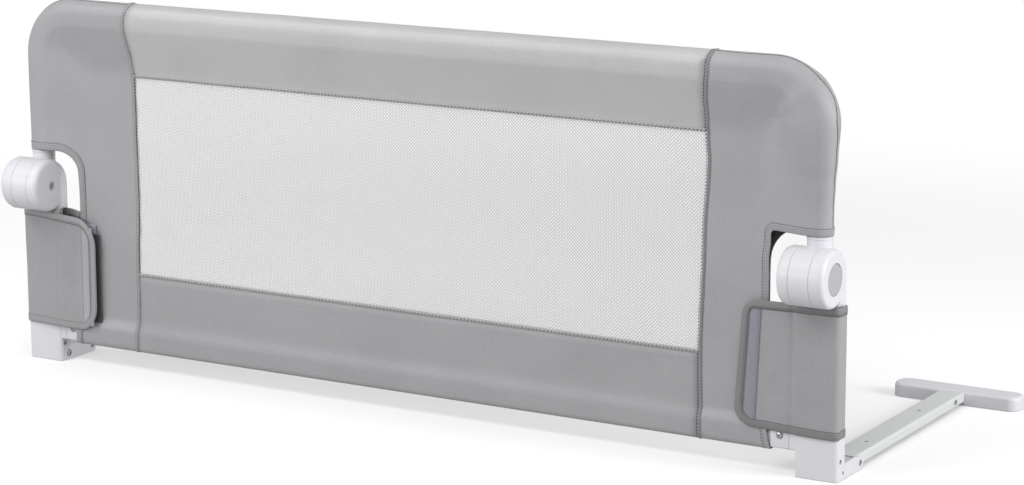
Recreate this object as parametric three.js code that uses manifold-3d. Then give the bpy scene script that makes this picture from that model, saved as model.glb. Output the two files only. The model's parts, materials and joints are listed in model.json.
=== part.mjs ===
// Folding bed guard rail: a fabric and net panel on a tube frame that folds down on two locking hubs,
// on posts, moulded feet and two support arms that slide under the mattress.
// Millimetres. X runs along the rail, Y from the front towards the bed, Z up from the surface it stands on.
// While it is modelled, Y = 0 is the plane of the upper tube. The last lines move the origin to the bottom
// centre of the whole. Every piece of a side is drawn for the side at +X and mirrored for the other.

import * as THREE from 'three';
import { mergeVertices } from 'three/addons/utils/BufferGeometryUtils.js';
import Module from 'manifold-3d';

const wasm = await Module();
wasm.setup();

// Clearances
const gap = 0.3;               // between pieces that touch
const runningGap = 0.5;        // between a turning piece and what it passes
const overrun = 6;             // how far a cut runs past the wall that it opens

// Whole rail
const railWidth = 1020;        // over the outer faces of the two feet
const railHalf = railWidth / 2;

// Hub: a fixed cheek and cap with the turning drum between them
const hubAxisY = -19;
const hubAxisZ = 207.3;
const hubRadius = 29.5;
const hubWidth = 51;
const hubInset = 0.8;          // from the foot's outer face to the hub's
const cheekWidth = 13.4;
const capWidth = 15.5;
const cheekRound = 5;
const capRound = 4;
const hubSides = 32;
const bevelSteps = 2;          // across each rounded edge
const knuckleDrop = 30.7;      // from the axis to the knuckle's flat underside
const saddleDrop = 12.3;       // from the axis to the top of the wall behind the drum
const knuckleBottomZ = hubAxisZ - knuckleDrop;
const saddleTopZ = hubAxisZ - saddleDrop;
const hubOuterX = railHalf - hubInset;
const hubInnerX = hubOuterX - hubWidth;
const cheekFaceX = hubInnerX + cheekWidth;
const capFaceX = hubOuterX - capWidth;

// Lock inside the hub
const toothCount = 12;
const toothRootRadius = 12.8;
const toothTipRadius = 15.2;
const toothRootWidth = 3.8;
const toothTipWidth = 2.2;
const lockTravel = 4;          // of the button and of the gear
const gearThickness = 6.3;
const drumWeb = 3;
const capWeb = 3;
const bossRadius = 5.5;
const boltHeadRadius = 4.6;
const boltHeadHeight = 2.6;
const boltHeadSink = 1;
const boltRadius = 3;
const boltSides = 12;
const bossLengthShare = 0.55;  // of the drum's pocket that the cheek's boss reaches through

// Button: a disc with three legs that push the gear
const buttonRadius = 16;
const buttonThickness = 2.6;
const buttonRound = 0.8;
const legCount = 3;
const legRadius = 9.3;         // from the axis to the middle of a leg
const legDepth = 3.4;
const legWidth = 5;

// Lock spring
const springRadius = 8.6;
const springWire = 1.6;
const springTurns = 4;
const springStepsPerTurn = 8;
const springSides = 5;

// Collar and spigot on the drum, and the upper tube on it
const collarRadius = 12.8;
const collarInset = 26.2;      // of the upper tube's upright from the foot's outer face
const collarBaseRise = 12;     // above the hub's axis
const collarRise = 37.7;       // of its top above the hub's axis
const lipRadius = 13.3;
const lipHeight = 2.2;
const spigotLength = 28;
const spigotWall = 2.4;
const spigotFloorDrop = 8;     // of the hollow below the collar's top
const tubeRadius = 12.7;
const tubeWall = 1.2;
const topTubeZ = 405;
const bendRadius = 50;
const bendSteps = 6;
const tubeSides = 14;
const joinerLength = 120;
const joinerWall = 1.5;
const lockPinRadius = 2.4;
const lockPinLength = 6;
const lockPinSink = 0.6;       // of its end below the tube's face
const tubePinRise = 14;        // above the collar's top
const collarX = railHalf - collarInset;
const collarTopZ = hubAxisZ + collarRise;

// Post: a flattened tube from the foot up to the hub
const postWidth = 40;
const postDepth = 16.4;
const postInset = 24.2;        // of its middle from the foot's outer face
const postY = 2.5;
const postWall = 1.5;
const postRound = 4.5;
const postFloor = 3;           // thickness of the foot under it
const spigotDepth = 26;        // of the knuckle inside the post
const knucklePinDrop = 13;     // below the knuckle
const postX = railHalf - postInset;

// Foot: one moulding that holds the post, the lower bar and the arm's pin
const footInnerWall = 2.8;
const footFrontWall = 1.3;
const footBackWall = 2.3;
const footHeight = 43;
const footRound = 4.5;
const sideHoleRadius = 2.7;
const sideHoleY = 0;
const sideHoleZ = 20;
const earHeight = 16;
const earSlopeY = 37;          // where the ears' tops begin to fall
const earOuter = 2.4;
const earRadius = 7;
const earWall = 2.4;
const earEndDegrees = 72;
const clevisWeb = 2.8;
const clevisDrop = 0.4;        // of the web below the arm's top
const pivotBoss = 6;           // of solid ear round the pin
const stubLength = 6.7;
const footWidth = postInset + postWidth / 2 + footInnerWall;
const footDepth = postDepth + footFrontWall + footBackWall;
const footInnerX = railHalf - footWidth;
const footFrontY = postY - postDepth / 2 - footFrontWall;
const footBackY = footFrontY + footDepth;

// Support arm: a channel of bent steel with a T-foot
const armWidth = 28.4;
const armThickness = 1.2;
const armBend = 2.4;
const armTopZ = 14.5;
const armBottomZ = 4.5;
const armPinY = 48.5;
const armPinRadius = 3;
const armPinSink = 0.8;
const heelRadius = 6;
const heelBlend = 12;
const armHoleRadius = 2.6;
const armHoleShares = [0.18, 0.67]; // of the arm's length from its pin to the T-foot
const footBarY = 326;
const footBarDepth = 30;
const footBarHeight = 15;
const footBarLength = 145;
const footBarInset = 15;       // of its middle from the foot's outer face
const footBarRound = 3.5;
const footBarCorner = 12;
const tongueLength = 36;
const rivetInset = 25;         // from the T-foot's front
const rivetRadius = 2;
const rivetHeadRadius = 3;
const rivetHeadHeight = 0.8;
const armPinZ = earRadius;
const footBarX = railHalf - footBarInset;
const rivetY = footBarY - rivetInset;
const armOuterX = railHalf - earOuter - gap;
const armInnerX = armOuterX - armWidth;
const rivetZ = (armTopZ + armBottomZ) / 2;

// Lower bar with its connectors
const barHeight = 16;
const barDepth = 13;
const barWall = 1.2;
const barRound = 3;
const barY = postY;
const barZ = 35.5;
const connectorLength = 20;
const connectorWall = 1.2;
const connectorWeb = 3.6;
const connectorRound = 2;
const keyInset = 1.5;          // of the connector's key inside the foot's stub
const keyLength = 8;
const connectorScrewRise = 4.5; // above the bar's middle
const connectorScrewZ = barZ + connectorScrewRise;
const stubX = footInnerX - stubLength;
const connectorX = stubX - gap - connectorLength;
const connectorScrewX = connectorX + connectorLength / 2;

// Screws with pan heads
const screwRadius = 1.6;
const screwHeadRadius = 2.9;
const screwHeadHeight = 1.4;
const screwLength = 7;
const footScrewY = 6.5;
const footScrewZ = 7.2;
const screwSides = 10;

// Cover: sleeves round the tubes, single cloth between them
const sleeveGap = 0.3;
const sleeveWall = 1;
const sleeveTail = 46;
const clothHalf = 1.5;
const tailHalf = 1.3;
const seamInset = 154.5;       // of the side seam from the foot's outer face
const notchClear = 25.7;       // from the cover's side to the hub
const notchRound = 24;
const hemRise = 1.6;           // of the sleeve's end above the collar
const topBandDrop = 68;        // from the upper tube's axis to the net
const bottomBandRise = 78.5;   // from the lower bar's middle to the net
const hemWall = 1.2;
const hemDrop = 2;             // of the bottom hem below the bar's sleeve
const shoulderRise = 11;
const sleeveSteps = 10;
const seamX = railHalf - seamInset;
const notchX = hubInnerX - notchClear;
const hemZ = collarTopZ + hemRise;
const netTopZ = topTubeZ - topBandDrop;
const netBottomZ = barZ + bottomBandRise;
const sleeveRadius = tubeRadius + sleeveGap + sleeveWall;

// Net: a grid of square gaps between woven strands
const netHalf = 0.6;
const strand = 2.2;
const netBorder = 4;
const netColumns = 20;
const netRowsUpper = 4;
const netRowsLower = 3;

// Flap: wraps the post from behind and closes on the cover's front
const flapThickness = 2;
const flapFrontGap = 1.5;
const flapBackGap = 0.4;
const flapRiseClear = 4.8;     // from the top of the rise to the post's inner edge
const flapRiseLength = 30;     // from the flat end up to the post's front
const flapTopClear = 0.6;      // below the knuckle
const flapBottomClear = 0.4;   // above the foot
const flapRound = 15;
const flapBackHold = 4.2;      // of the back along the post, past its inner edge
const flapBackReach = 10.8;    // from the post's inner edge to where the back begins to fall
const flapBackFall = 2;
const flapRootInset = 1.5;
const flapRootY = 0.6;
const stripThickness = 1.4;
const stripWidth = 22;
const stripInset = 4;
const stripMargin = 12;
const flapTopZ = knuckleBottomZ - flapTopClear;
const flapBottomZ = footHeight + flapBottomClear;
const postInnerX = postX - postWidth / 2;
const flapRiseX = postInnerX - flapRiseClear;
const flapLandX = flapRiseX - flapRiseLength;
const flapEndX = flapLandX - stripWidth - 2 * stripInset;

// Colours
const whitePlastic = new THREE.MeshStandardMaterial({ color: 0xe3e2e8, roughness: 0.42 });
const greyPlastic = new THREE.MeshStandardMaterial({ color: 0xbdbdc1, roughness: 0.5 });
const lockPlastic = new THREE.MeshStandardMaterial({ color: 0x4a4c50, roughness: 0.5 });
const whiteSteel = new THREE.MeshStandardMaterial({ color: 0xc8ccca, roughness: 0.45, metalness: 0.2 });
const bareSteel = new THREE.MeshStandardMaterial({ color: 0x9a9c9f, roughness: 0.3, metalness: 1 });
const greyCloth = new THREE.MeshStandardMaterial({ color: 0x9f9ea1, roughness: 0.9 });
const paleNet = new THREE.MeshStandardMaterial({ color: 0xdedede, roughness: 0.9 });
const hookTape = new THREE.MeshStandardMaterial({ color: 0xa8a6b4, roughness: 0.95 });

// Axes that lay a drawn outline across X, Y or Z
const unitX = new THREE.Vector3(1, 0, 0);
const unitY = new THREE.Vector3(0, 1, 0);
const unitZ = new THREE.Vector3(0, 0, 1);

// Outlines
function arc(centreA, centreB, radius, fromDegrees, toDegrees, steps) {
  const points = [];
  for (let i = 0; i <= steps; i += 1) {
    const angle = THREE.MathUtils.degToRad(fromDegrees + (toDegrees - fromDegrees) * i / steps);
    points.push(new THREE.Vector2(centreA + radius * Math.cos(angle), centreB + radius * Math.sin(angle)));
  }
  return points;
}

function circle(centreA, centreB, radius, sides) {
  return arc(centreA, centreB, radius, 0, 360, sides).slice(1);
}

function roundedRectangle(centreA, centreB, width, height, radius, steps = 3) {
  const a = width / 2 - radius;
  const b = height / 2 - radius;
  return [
    ...arc(centreA + a, centreB - b, radius, -90, 0, steps),
    ...arc(centreA + a, centreB + b, radius, 0, 90, steps),
    ...arc(centreA - a, centreB + b, radius, 90, 180, steps),
    ...arc(centreA - a, centreB - b, radius, 180, 270, steps),
  ];
}

function rectangle(lowA, lowB, highA, highB) {
  return [
    new THREE.Vector2(lowA, lowB), new THREE.Vector2(highA, lowB),
    new THREE.Vector2(highA, highB), new THREE.Vector2(lowA, highB),
  ];
}

function shapeOf(points, ...holes) {
  const shape = new THREE.Shape(points);
  shape.holes = holes.map((hole) => new THREE.Path(hole));
  return shape;
}

// Prisms: an outline in Y and Z along X, in X and Z along Y, or in X and Y along Z
function prism(shape, depth, round) {
  const bevel = round > 0;
  return new THREE.ExtrudeGeometry(shape, {
    depth: bevel ? depth - 2 * round : depth,
    bevelEnabled: bevel,
    bevelThickness: round,
    bevelSize: round,
    bevelOffset: -round,
    bevelSegments: bevelSteps,
  }).translate(0, 0, bevel ? round : 0);
}

function alongX(shape, from, to, round = 0) {
  const turn = new THREE.Matrix4().makeBasis(unitY, unitZ, unitX);
  return prism(shape, to - from, round).applyMatrix4(turn).translate(from, 0, 0);
}

function alongY(shape, from, to, round = 0) {
  const turn = new THREE.Matrix4().makeBasis(unitX, unitZ, unitY.clone().negate());
  return prism(shape, to - from, round).applyMatrix4(turn).translate(0, to, 0);
}

function alongZ(shape, from, to, round = 0) {
  return prism(shape, to - from, round).translate(0, 0, from);
}

function block(lowX, lowY, lowZ, highX, highY, highZ) {
  const box = new THREE.BoxGeometry(highX - lowX, highY - lowY, highZ - lowZ);
  return box.translate((lowX + highX) / 2, (lowY + highY) / 2, (lowZ + highZ) / 2);
}

function rod(axis, centreA, centreB, radius, from, to, sides = boltSides) {
  const shape = shapeOf(circle(centreA, centreB, radius, sides));
  return { x: alongX, y: alongY, z: alongZ }[axis](shape, from, to);
}

// Turned pieces: pairs of radius and place along the axis
function turnedOnZ(pairs, centreX, centreY, sides) {
  const points = pairs.map(([radius, place]) => new THREE.Vector2(radius, place));
  const turn = new THREE.Matrix4().makeBasis(unitX, unitZ, unitY.clone().negate());
  return new THREE.LatheGeometry(points, sides).applyMatrix4(turn).translate(centreX, centreY, 0);
}

function turnedOnX(pairs, centreY, centreZ, sides) {
  const points = pairs.map(([radius, place]) => new THREE.Vector2(radius, place));
  const turn = new THREE.Matrix4().makeBasis(unitY, unitX, unitZ.clone().negate());
  return new THREE.LatheGeometry(points, sides).applyMatrix4(turn).translate(0, centreY, centreZ);
}

function turnedOnY(pairs, centreX, centreZ, sides) {
  const points = pairs.map(([radius, place]) => new THREE.Vector2(radius, place));
  const turn = new THREE.Matrix4().makeBasis(unitZ, unitY, unitX.clone().negate());
  return new THREE.LatheGeometry(points, sides).applyMatrix4(turn).translate(centreX, 0, centreZ);
}

// Joining and cutting
function solid(geometry) {
  const bare = geometry.clone();
  bare.deleteAttribute('normal');
  bare.deleteAttribute('uv');
  const merged = mergeVertices(bare);
  const index = merged.index.array;
  const corners = [];
  for (let i = 0; i < index.length; i += 3) {
    const [a, b, c] = [index[i], index[i + 1], index[i + 2]];
    if (a !== b && b !== c && c !== a) corners.push(a, b, c);
  }
  return new wasm.Manifold(new wasm.Mesh({
    numProp: 3,
    vertProperties: new Float32Array(merged.attributes.position.array),
    triVerts: new Uint32Array(corners),
  }));
}

function geometryOf(manifold) {
  const mesh = manifold.getMesh();
  const geometry = new THREE.BufferGeometry();
  geometry.setAttribute('position', new THREE.BufferAttribute(new Float32Array(mesh.vertProperties), 3));
  geometry.setIndex(new THREE.BufferAttribute(new Uint32Array(mesh.triVerts), 1));
  return geometry;
}

function build(added, cut = []) {
  const whole = added.map(solid).reduce((sum, next) => sum.add(next));
  return geometryOf(cut.map(solid).reduce((rest, next) => rest.subtract(next), whole));
}

function mirrored(geometry) {
  const copy = geometry.index ? geometry.toNonIndexed() : geometry.clone();
  copy.scale(-1, 1, 1);
  const place = copy.attributes.position;
  for (let i = 0; i < place.count; i += 3) {
    const first = [place.getX(i), place.getY(i), place.getZ(i)];
    place.setXYZ(i, place.getX(i + 1), place.getY(i + 1), place.getZ(i + 1));
    place.setXYZ(i + 1, ...first);
  }
  return copy;
}

// Paths: a leg up, a quarter bend inwards and a run along the rail, with a station at each end of the bend
class TubePath extends THREE.Curve {
  constructor(startZ, endX) {
    super();
    this.startZ = startZ;
    this.endX = endX;
  }

  bendAngle(t) {
    const share = (t * (bendSteps + 2) - 1) / bendSteps;
    return THREE.MathUtils.clamp(share, 0, 1) * Math.PI / 2;
  }

  getPointAt(t, target = new THREE.Vector3()) {
    const angle = this.bendAngle(t);
    const station = t * (bendSteps + 2);
    const x = collarX - bendRadius + bendRadius * Math.cos(angle);
    const z = topTubeZ - bendRadius + bendRadius * Math.sin(angle);
    if (station < 1) return target.set(x, 0, THREE.MathUtils.lerp(this.startZ, z, station));
    if (station > bendSteps + 1) {
      return target.set(THREE.MathUtils.lerp(x, this.endX, station - bendSteps - 1), 0, z);
    }
    return target.set(x, 0, z);
  }

  getTangentAt(t, target = new THREE.Vector3()) {
    const angle = this.bendAngle(t);
    return target.set(-Math.sin(angle), 0, Math.cos(angle));
  }
}

function sweep(points, holes, startZ, endX) {
  return new THREE.ExtrudeGeometry(shapeOf(points, ...holes), {
    steps: bendSteps + 2,
    extrudePath: new TubePath(startZ, endX),
  });
}

// Helix along X for the lock spring
class SpringPath extends THREE.Curve {
  constructor(fromX, toX) {
    super();
    this.fromX = fromX;
    this.toX = toX;
  }

  getPoint(t, target = new THREE.Vector3()) {
    const angle = 2 * Math.PI * springTurns * t;
    const y = hubAxisY + springRadius * Math.cos(angle);
    const z = hubAxisZ + springRadius * Math.sin(angle);
    return target.set(THREE.MathUtils.lerp(this.fromX, this.toX, t), y, z);
  }
}

// Sections of the cover
function teardrop(centreZ) {
  const reach = Math.hypot(tailHalf, sleeveTail);
  const turn = Math.atan2(-sleeveTail, tailHalf) + Math.acos(sleeveRadius / reach);
  const touch = THREE.MathUtils.radToDeg(turn);
  return [
    new THREE.Vector2(tailHalf, centreZ - sleeveTail),
    ...arc(0, centreZ, sleeveRadius, touch, 180 - touch, sleeveSteps),
    new THREE.Vector2(-tailHalf, centreZ - sleeveTail),
  ];
}

function topBandSection() {
  const points = teardrop(topTubeZ);
  const low = netTopZ + gap;
  return shapeOf(
    [...points, new THREE.Vector2(-tailHalf, low), new THREE.Vector2(tailHalf, low)],
    circle(0, topTubeZ, tubeRadius + sleeveGap, tubeSides),
  );
}

const barSleeveHalf = barDepth / 2 + sleeveGap + hemWall;
const barSleeveTopZ = barZ + barHeight / 2 + sleeveGap + hemWall;
const hemBottomZ = barZ - barHeight / 2 - sleeveGap - hemWall - hemDrop;

function hemSection(clothTopZ) {
  const front = barY - barSleeveHalf + barRound;
  const back = barY + barSleeveHalf - barRound;
  const shoulder = barSleeveTopZ + shoulderRise;
  const points = [
    new THREE.Vector2(clothHalf, clothTopZ), new THREE.Vector2(-clothHalf, clothTopZ),
    new THREE.Vector2(-clothHalf, shoulder),
    ...arc(front, barSleeveTopZ - barRound, barRound, 90, 180, 3),
    ...arc(front, hemBottomZ + barRound, barRound, 180, 270, 3),
    ...arc(back, hemBottomZ + barRound, barRound, 270, 360, 3),
    ...arc(back, barSleeveTopZ - barRound, barRound, 0, 90, 3),
    new THREE.Vector2(clothHalf, shoulder),
  ];
  const channel = roundedRectangle(barY, barZ, barDepth + 2 * sleeveGap, barHeight + 2 * sleeveGap,
    barRound, 2);
  return shapeOf(points, channel);
}

// Lock teeth: the same outline, widened by a clearance where it is a socket
function toothedOutline(clearance) {
  const points = [];
  const root = toothRootRadius + clearance;
  const tip = toothTipRadius + clearance;
  for (let i = 0; i < toothCount; i += 1) {
    const centre = 2 * Math.PI * i / toothCount;
    const atRoot = (toothRootWidth / 2 + clearance) / root;
    const atTip = (toothTipWidth / 2 + clearance) / tip;
    const flank = [[root, -atRoot], [tip, -atTip], [tip, atTip], [root, atRoot]];
    for (const [radius, offset] of flank) {
      const angle = centre + offset;
      const spoke = new THREE.Vector2(radius, 0).rotateAround(new THREE.Vector2(), angle);
      points.push(spoke.add(new THREE.Vector2(hubAxisY, hubAxisZ)));
    }
  }
  return points;
}

// Places along the lock, counted outwards from the cheek
const drumInnerX = cheekFaceX + gap;
const drumOuterX = capFaceX - gap;
const pocketFloorX = drumInnerX + drumWeb;
const gearOuterX = drumOuterX - gap;
const gearInnerX = gearOuterX - gearThickness;
const bossSplitX = cheekFaceX + (capFaceX - cheekFaceX) * bossLengthShare;
const buttonInnerX = hubOuterX - buttonThickness;
const capWebOuterX = buttonInnerX - lockTravel - gap;
const capWebInnerX = capWebOuterX - capWeb;
const legTipX = gearOuterX + lockTravel + gap;

// Fixed outline of the hub: a round that runs down into the post
const postFrontY = postY - postDepth / 2;
const postBackY = postY + postDepth / 2;
const knuckleBackY = hubAxisY + hubRadius;
function knuckleOutline(bottomZ = knuckleBottomZ) {
  const meet = 360 - THREE.MathUtils.radToDeg(Math.acos((postFrontY - hubAxisY) / hubRadius));
  return [
    new THREE.Vector2(knuckleBackY, bottomZ),
    ...arc(hubAxisY, hubAxisZ, hubRadius, 0, meet, hubSides),
    new THREE.Vector2(postFrontY, bottomZ),
  ];
}

function postKey(fromX, toX) {
  const low = knuckleBottomZ - spigotDepth;
  const plug = alongZ(shapeOf(postOutline(-postWall - gap)), low, knuckleBottomZ + gap);
  const part = block(fromX, postFrontY, low - overrun, toX, knuckleBackY, hubAxisZ);
  return geometryOf(solid(plug).intersect(solid(part)));
}

const knucklePinX = postX - postWidth / 4;
const knucklePinZ = knuckleBottomZ - knucklePinDrop;
function knucklePinHole() {
  return rod('y', knucklePinX, knucklePinZ, lockPinRadius + gap, postBackY - lockPinLength - gap,
    postBackY + overrun);
}

function lowerKnuckle() {
  const cheek = alongX(shapeOf(knuckleOutline()), hubInnerX, capFaceX + overrun, cheekRound);
  const beyond = block(cheekFaceX, hubAxisY - hubRadius - overrun, knuckleBottomZ - overrun,
    capFaceX + 2 * overrun, knuckleBackY + overrun, hubAxisZ + hubRadius + overrun);
  const bridge = block(cheekFaceX - gap, postFrontY, knuckleBottomZ, drumOuterX, knuckleBackY, saddleTopZ);
  const saddle = rod('x', hubAxisY, hubAxisZ, hubRadius + runningGap, cheekFaceX, drumOuterX + overrun,
    hubSides);
  const boss = rod('x', hubAxisY, hubAxisZ, bossRadius, cheekFaceX - gap, bossSplitX - gap);
  const key = postKey(hubInnerX, capFaceX - gap);
  const bore = rod('x', hubAxisY, hubAxisZ, boltRadius + gap, hubInnerX - overrun, bossSplitX + overrun);
  const sink = rod('x', hubAxisY, hubAxisZ, boltHeadRadius + gap, hubInnerX - overrun,
    hubInnerX + boltHeadSink + boltHeadHeight + gap);
  const shell = solid(cheek).subtract(solid(beyond));
  const fork = solid(bridge).subtract(solid(saddle));
  const whole = shell.add(fork).add(solid(boss)).add(solid(key));
  return geometryOf(whole.subtract(solid(bore)).subtract(solid(sink)).subtract(solid(knucklePinHole())));
}

function legOutlines(clearance) {
  const outlines = [];
  for (let i = 0; i < legCount; i += 1) {
    const angle = 2 * Math.PI * i / legCount + Math.PI / 2;
    const along = new THREE.Vector2(Math.cos(angle), Math.sin(angle));
    const across = new THREE.Vector2(-along.y, along.x);
    const corner = (radial, side) => new THREE.Vector2(hubAxisY, hubAxisZ)
      .addScaledVector(along, legRadius + radial * (legDepth / 2 + clearance))
      .addScaledVector(across, side * (legWidth / 2 + clearance));
    outlines.push([corner(-1, -1), corner(1, -1), corner(1, 1), corner(-1, 1)]);
  }
  return outlines;
}

function knuckleCap() {
  const shell = alongX(shapeOf(knuckleOutline()), capFaceX - 2 * capRound, hubOuterX, capRound);
  const behind = block(capFaceX - 2 * capRound - overrun, hubAxisY - hubRadius - overrun,
    knuckleBottomZ - overrun, capFaceX, knuckleBackY + overrun, hubAxisZ + hubRadius + overrun);
  const teeth = alongX(shapeOf(toothedOutline(gap)), capFaceX - overrun, capWebInnerX);
  const dish = rod('x', hubAxisY, hubAxisZ, buttonRadius + gap, capWebOuterX, hubOuterX + overrun,
    hubSides);
  const boss = rod('x', hubAxisY, hubAxisZ, bossRadius, bossSplitX, capWebInnerX + gap);
  const key = postKey(capFaceX, hubOuterX);
  const bore = rod('x', hubAxisY, hubAxisZ, boltRadius + gap, bossSplitX - overrun, hubOuterX + overrun);
  const slots = legOutlines(gap).map((leg) => alongX(shapeOf(leg), capWebInnerX - overrun, hubOuterX));
  const body = [behind, teeth, dish].reduce((rest, next) => rest.subtract(solid(next)), solid(shell));
  const whole = body.add(solid(boss)).add(solid(key));
  return geometryOf([bore, ...slots].reduce((rest, next) => rest.subtract(solid(next)), whole));
}

function upperKnuckle() {
  const drum = rod('x', hubAxisY, hubAxisZ, hubRadius, drumInnerX, drumOuterX, hubSides);
  const spigotRadius = tubeRadius - tubeWall - gap;
  const collar = turnedOnZ([
    [0, hubAxisZ + collarBaseRise], [collarRadius, hubAxisZ + collarBaseRise],
    [collarRadius, collarTopZ - lipHeight], [lipRadius, collarTopZ - lipHeight],
    [lipRadius, collarTopZ], [spigotRadius, collarTopZ],
    [spigotRadius, collarTopZ + spigotLength], [spigotRadius - spigotWall, collarTopZ + spigotLength],
    [spigotRadius - spigotWall, collarTopZ - spigotFloorDrop], [0, collarTopZ - spigotFloorDrop],
  ], collarX, 0, 2 * boltSides);
  const clear = [[hubInnerX - overrun, cheekFaceX + gap], [capFaceX - gap, hubOuterX + overrun]]
    .map(([from, to]) => rod('x', hubAxisY, hubAxisZ, hubRadius + runningGap, from, to, hubSides));
  const pocket = alongX(shapeOf(toothedOutline(gap)), pocketFloorX, drumOuterX + overrun);
  const bore = rod('x', hubAxisY, hubAxisZ, bossRadius + gap, drumInnerX - overrun, drumOuterX);
  return build([drum, collar], [...clear, pocket, bore, tubePinHole()]);
}

const tubePinZ = collarTopZ + tubePinRise;
function tubePinHole() {
  return rod('y', collarX, tubePinZ, lockPinRadius + gap, tubeRadius - lockPinLength - gap,
    tubeRadius + overrun);
}

function lockGear() {
  const shape = shapeOf(toothedOutline(0), circle(hubAxisY, hubAxisZ, bossRadius + gap, boltSides));
  return alongX(shape, gearInnerX, gearOuterX);
}

function lockSpring() {
  const half = springWire / 2;
  const path = new SpringPath(pocketFloorX + gap + half, gearInnerX - gap - half);
  return new THREE.ExtrudeGeometry(shapeOf(circle(0, 0, half, springSides)), {
    steps: springTurns * springStepsPerTurn,
    extrudePath: path,
  });
}

function releaseButton() {
  const disc = turnedOnX([
    [0, buttonInnerX], [buttonRadius, buttonInnerX], [buttonRadius, hubOuterX - buttonRound],
    [buttonRadius - buttonRound, hubOuterX], [0, hubOuterX],
  ], hubAxisY, hubAxisZ, hubSides);
  return build([disc, ...legOutlines(0).map((leg) => alongX(shapeOf(leg), legTipX, buttonInnerX + gap))]);
}

function pivotBolt() {
  const headX = hubInnerX + boltHeadSink;
  const neckX = headX + boltHeadHeight;
  return turnedOnX([
    [0, headX], [boltHeadRadius, headX], [boltHeadRadius, neckX],
    [boltRadius, neckX], [boltRadius, capWebOuterX - gap], [0, capWebOuterX - gap],
  ], hubAxisY, hubAxisZ, boltSides);
}

// Frame tubes, bars and their pins
function cornerTube() {
  const outer = circle(0, 0, tubeRadius, tubeSides);
  const inner = circle(0, 0, tubeRadius - tubeWall, tubeSides);
  return build([sweep(outer, [inner], collarTopZ + gap, gap)], [tubePinHole()]);
}

function tubePin() {
  return rod('y', collarX, tubePinZ, lockPinRadius, tubeRadius - lockPinLength, tubeRadius - lockPinSink);
}

function topJoiner() {
  const outer = tubeRadius - tubeWall - gap;
  const [rim, bore] = [outer, outer - joinerWall].map((radius) => circle(0, topTubeZ, radius, tubeSides));
  return alongX(shapeOf(rim, bore), -joinerLength / 2, joinerLength / 2);
}

function barSection(inset, wall) {
  const section = (less) => roundedRectangle(barY, barZ, barDepth - 2 * less, barHeight - 2 * less,
    Math.max(barRound - less, barWall), 2);
  return shapeOf(section(inset), section(inset + wall));
}

const barEndX = stubX - gap - connectorWeb - gap;
function connectorScrewHole() {
  return rod('y', connectorScrewX, connectorScrewZ, screwRadius + gap, barY - barDepth, barY, screwSides);
}

function lowerBar() {
  return build([alongX(barSection(0, barWall), gap, barEndX)], [connectorScrewHole()]);
}

function barJoiner() {
  return alongX(barSection(barWall + gap, barWall), -joinerLength / 2, joinerLength / 2);
}

function connectorBox(inset) {
  const grow = 2 * (gap + connectorWall - inset);
  return shapeOf(roundedRectangle(barY, barZ, barDepth + grow, barHeight + grow, connectorRound, 2));
}

function keyBox(clearance) {
  const less = 2 * (keyInset + connectorWall) - 2 * clearance;
  return shapeOf(roundedRectangle(barY, barZ, barDepth - less, barHeight - less, connectorRound, 2));
}

function barConnector() {
  const body = alongX(connectorBox(0), connectorX, stubX - gap);
  const key = alongX(keyBox(0), stubX - 2 * gap, stubX + keyLength);
  const socket = alongX(connectorBox(connectorWall), connectorX - overrun, barEndX + gap);
  return build([body, key], [socket, connectorScrewHole()]);
}

function panScrew() {
  const faceY = barY - barDepth / 2 - gap - connectorWall;
  return turnedOnY([
    [0, faceY - gap - screwHeadHeight], [screwHeadRadius, faceY - gap - screwHeadHeight / 2],
    [screwHeadRadius, faceY - gap], [screwRadius, faceY - gap],
    [screwRadius, faceY - gap + screwLength], [0, faceY - gap + screwLength],
  ], connectorScrewX, connectorScrewZ, screwSides);
}

// Post and foot
function postOutline(growth) {
  return roundedRectangle(postX, postY, postWidth + 2 * growth, postDepth + 2 * growth, postRound + growth);
}

function footScrewHole(toX) {
  return rod('x', footScrewY, footScrewZ, screwRadius + gap, footInnerX - overrun, toX, screwSides);
}

function sideHole() {
  return rod('x', sideHoleY, sideHoleZ, sideHoleRadius, footInnerX - overrun, railHalf + overrun,
    screwSides);
}

function post() {
  const wall = shapeOf(postOutline(0), postOutline(-postWall));
  const tube = alongZ(wall, postFloor + gap, knuckleBottomZ - gap);
  return build([tube], [sideHole(), footScrewHole(postX), knucklePinHole()]);
}

function knucklePin() {
  return rod('y', knucklePinX, knucklePinZ, lockPinRadius, postBackY - lockPinLength,
    postBackY - lockPinSink);
}

function earOutline() {
  return shapeOf([
    new THREE.Vector2(footBackY - footRound, 0),
    ...arc(armPinY, armPinZ, earRadius, -90, earEndDegrees, 7),
    new THREE.Vector2(earSlopeY, earHeight), new THREE.Vector2(footBackY - footRound, earHeight),
  ]);
}

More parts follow.
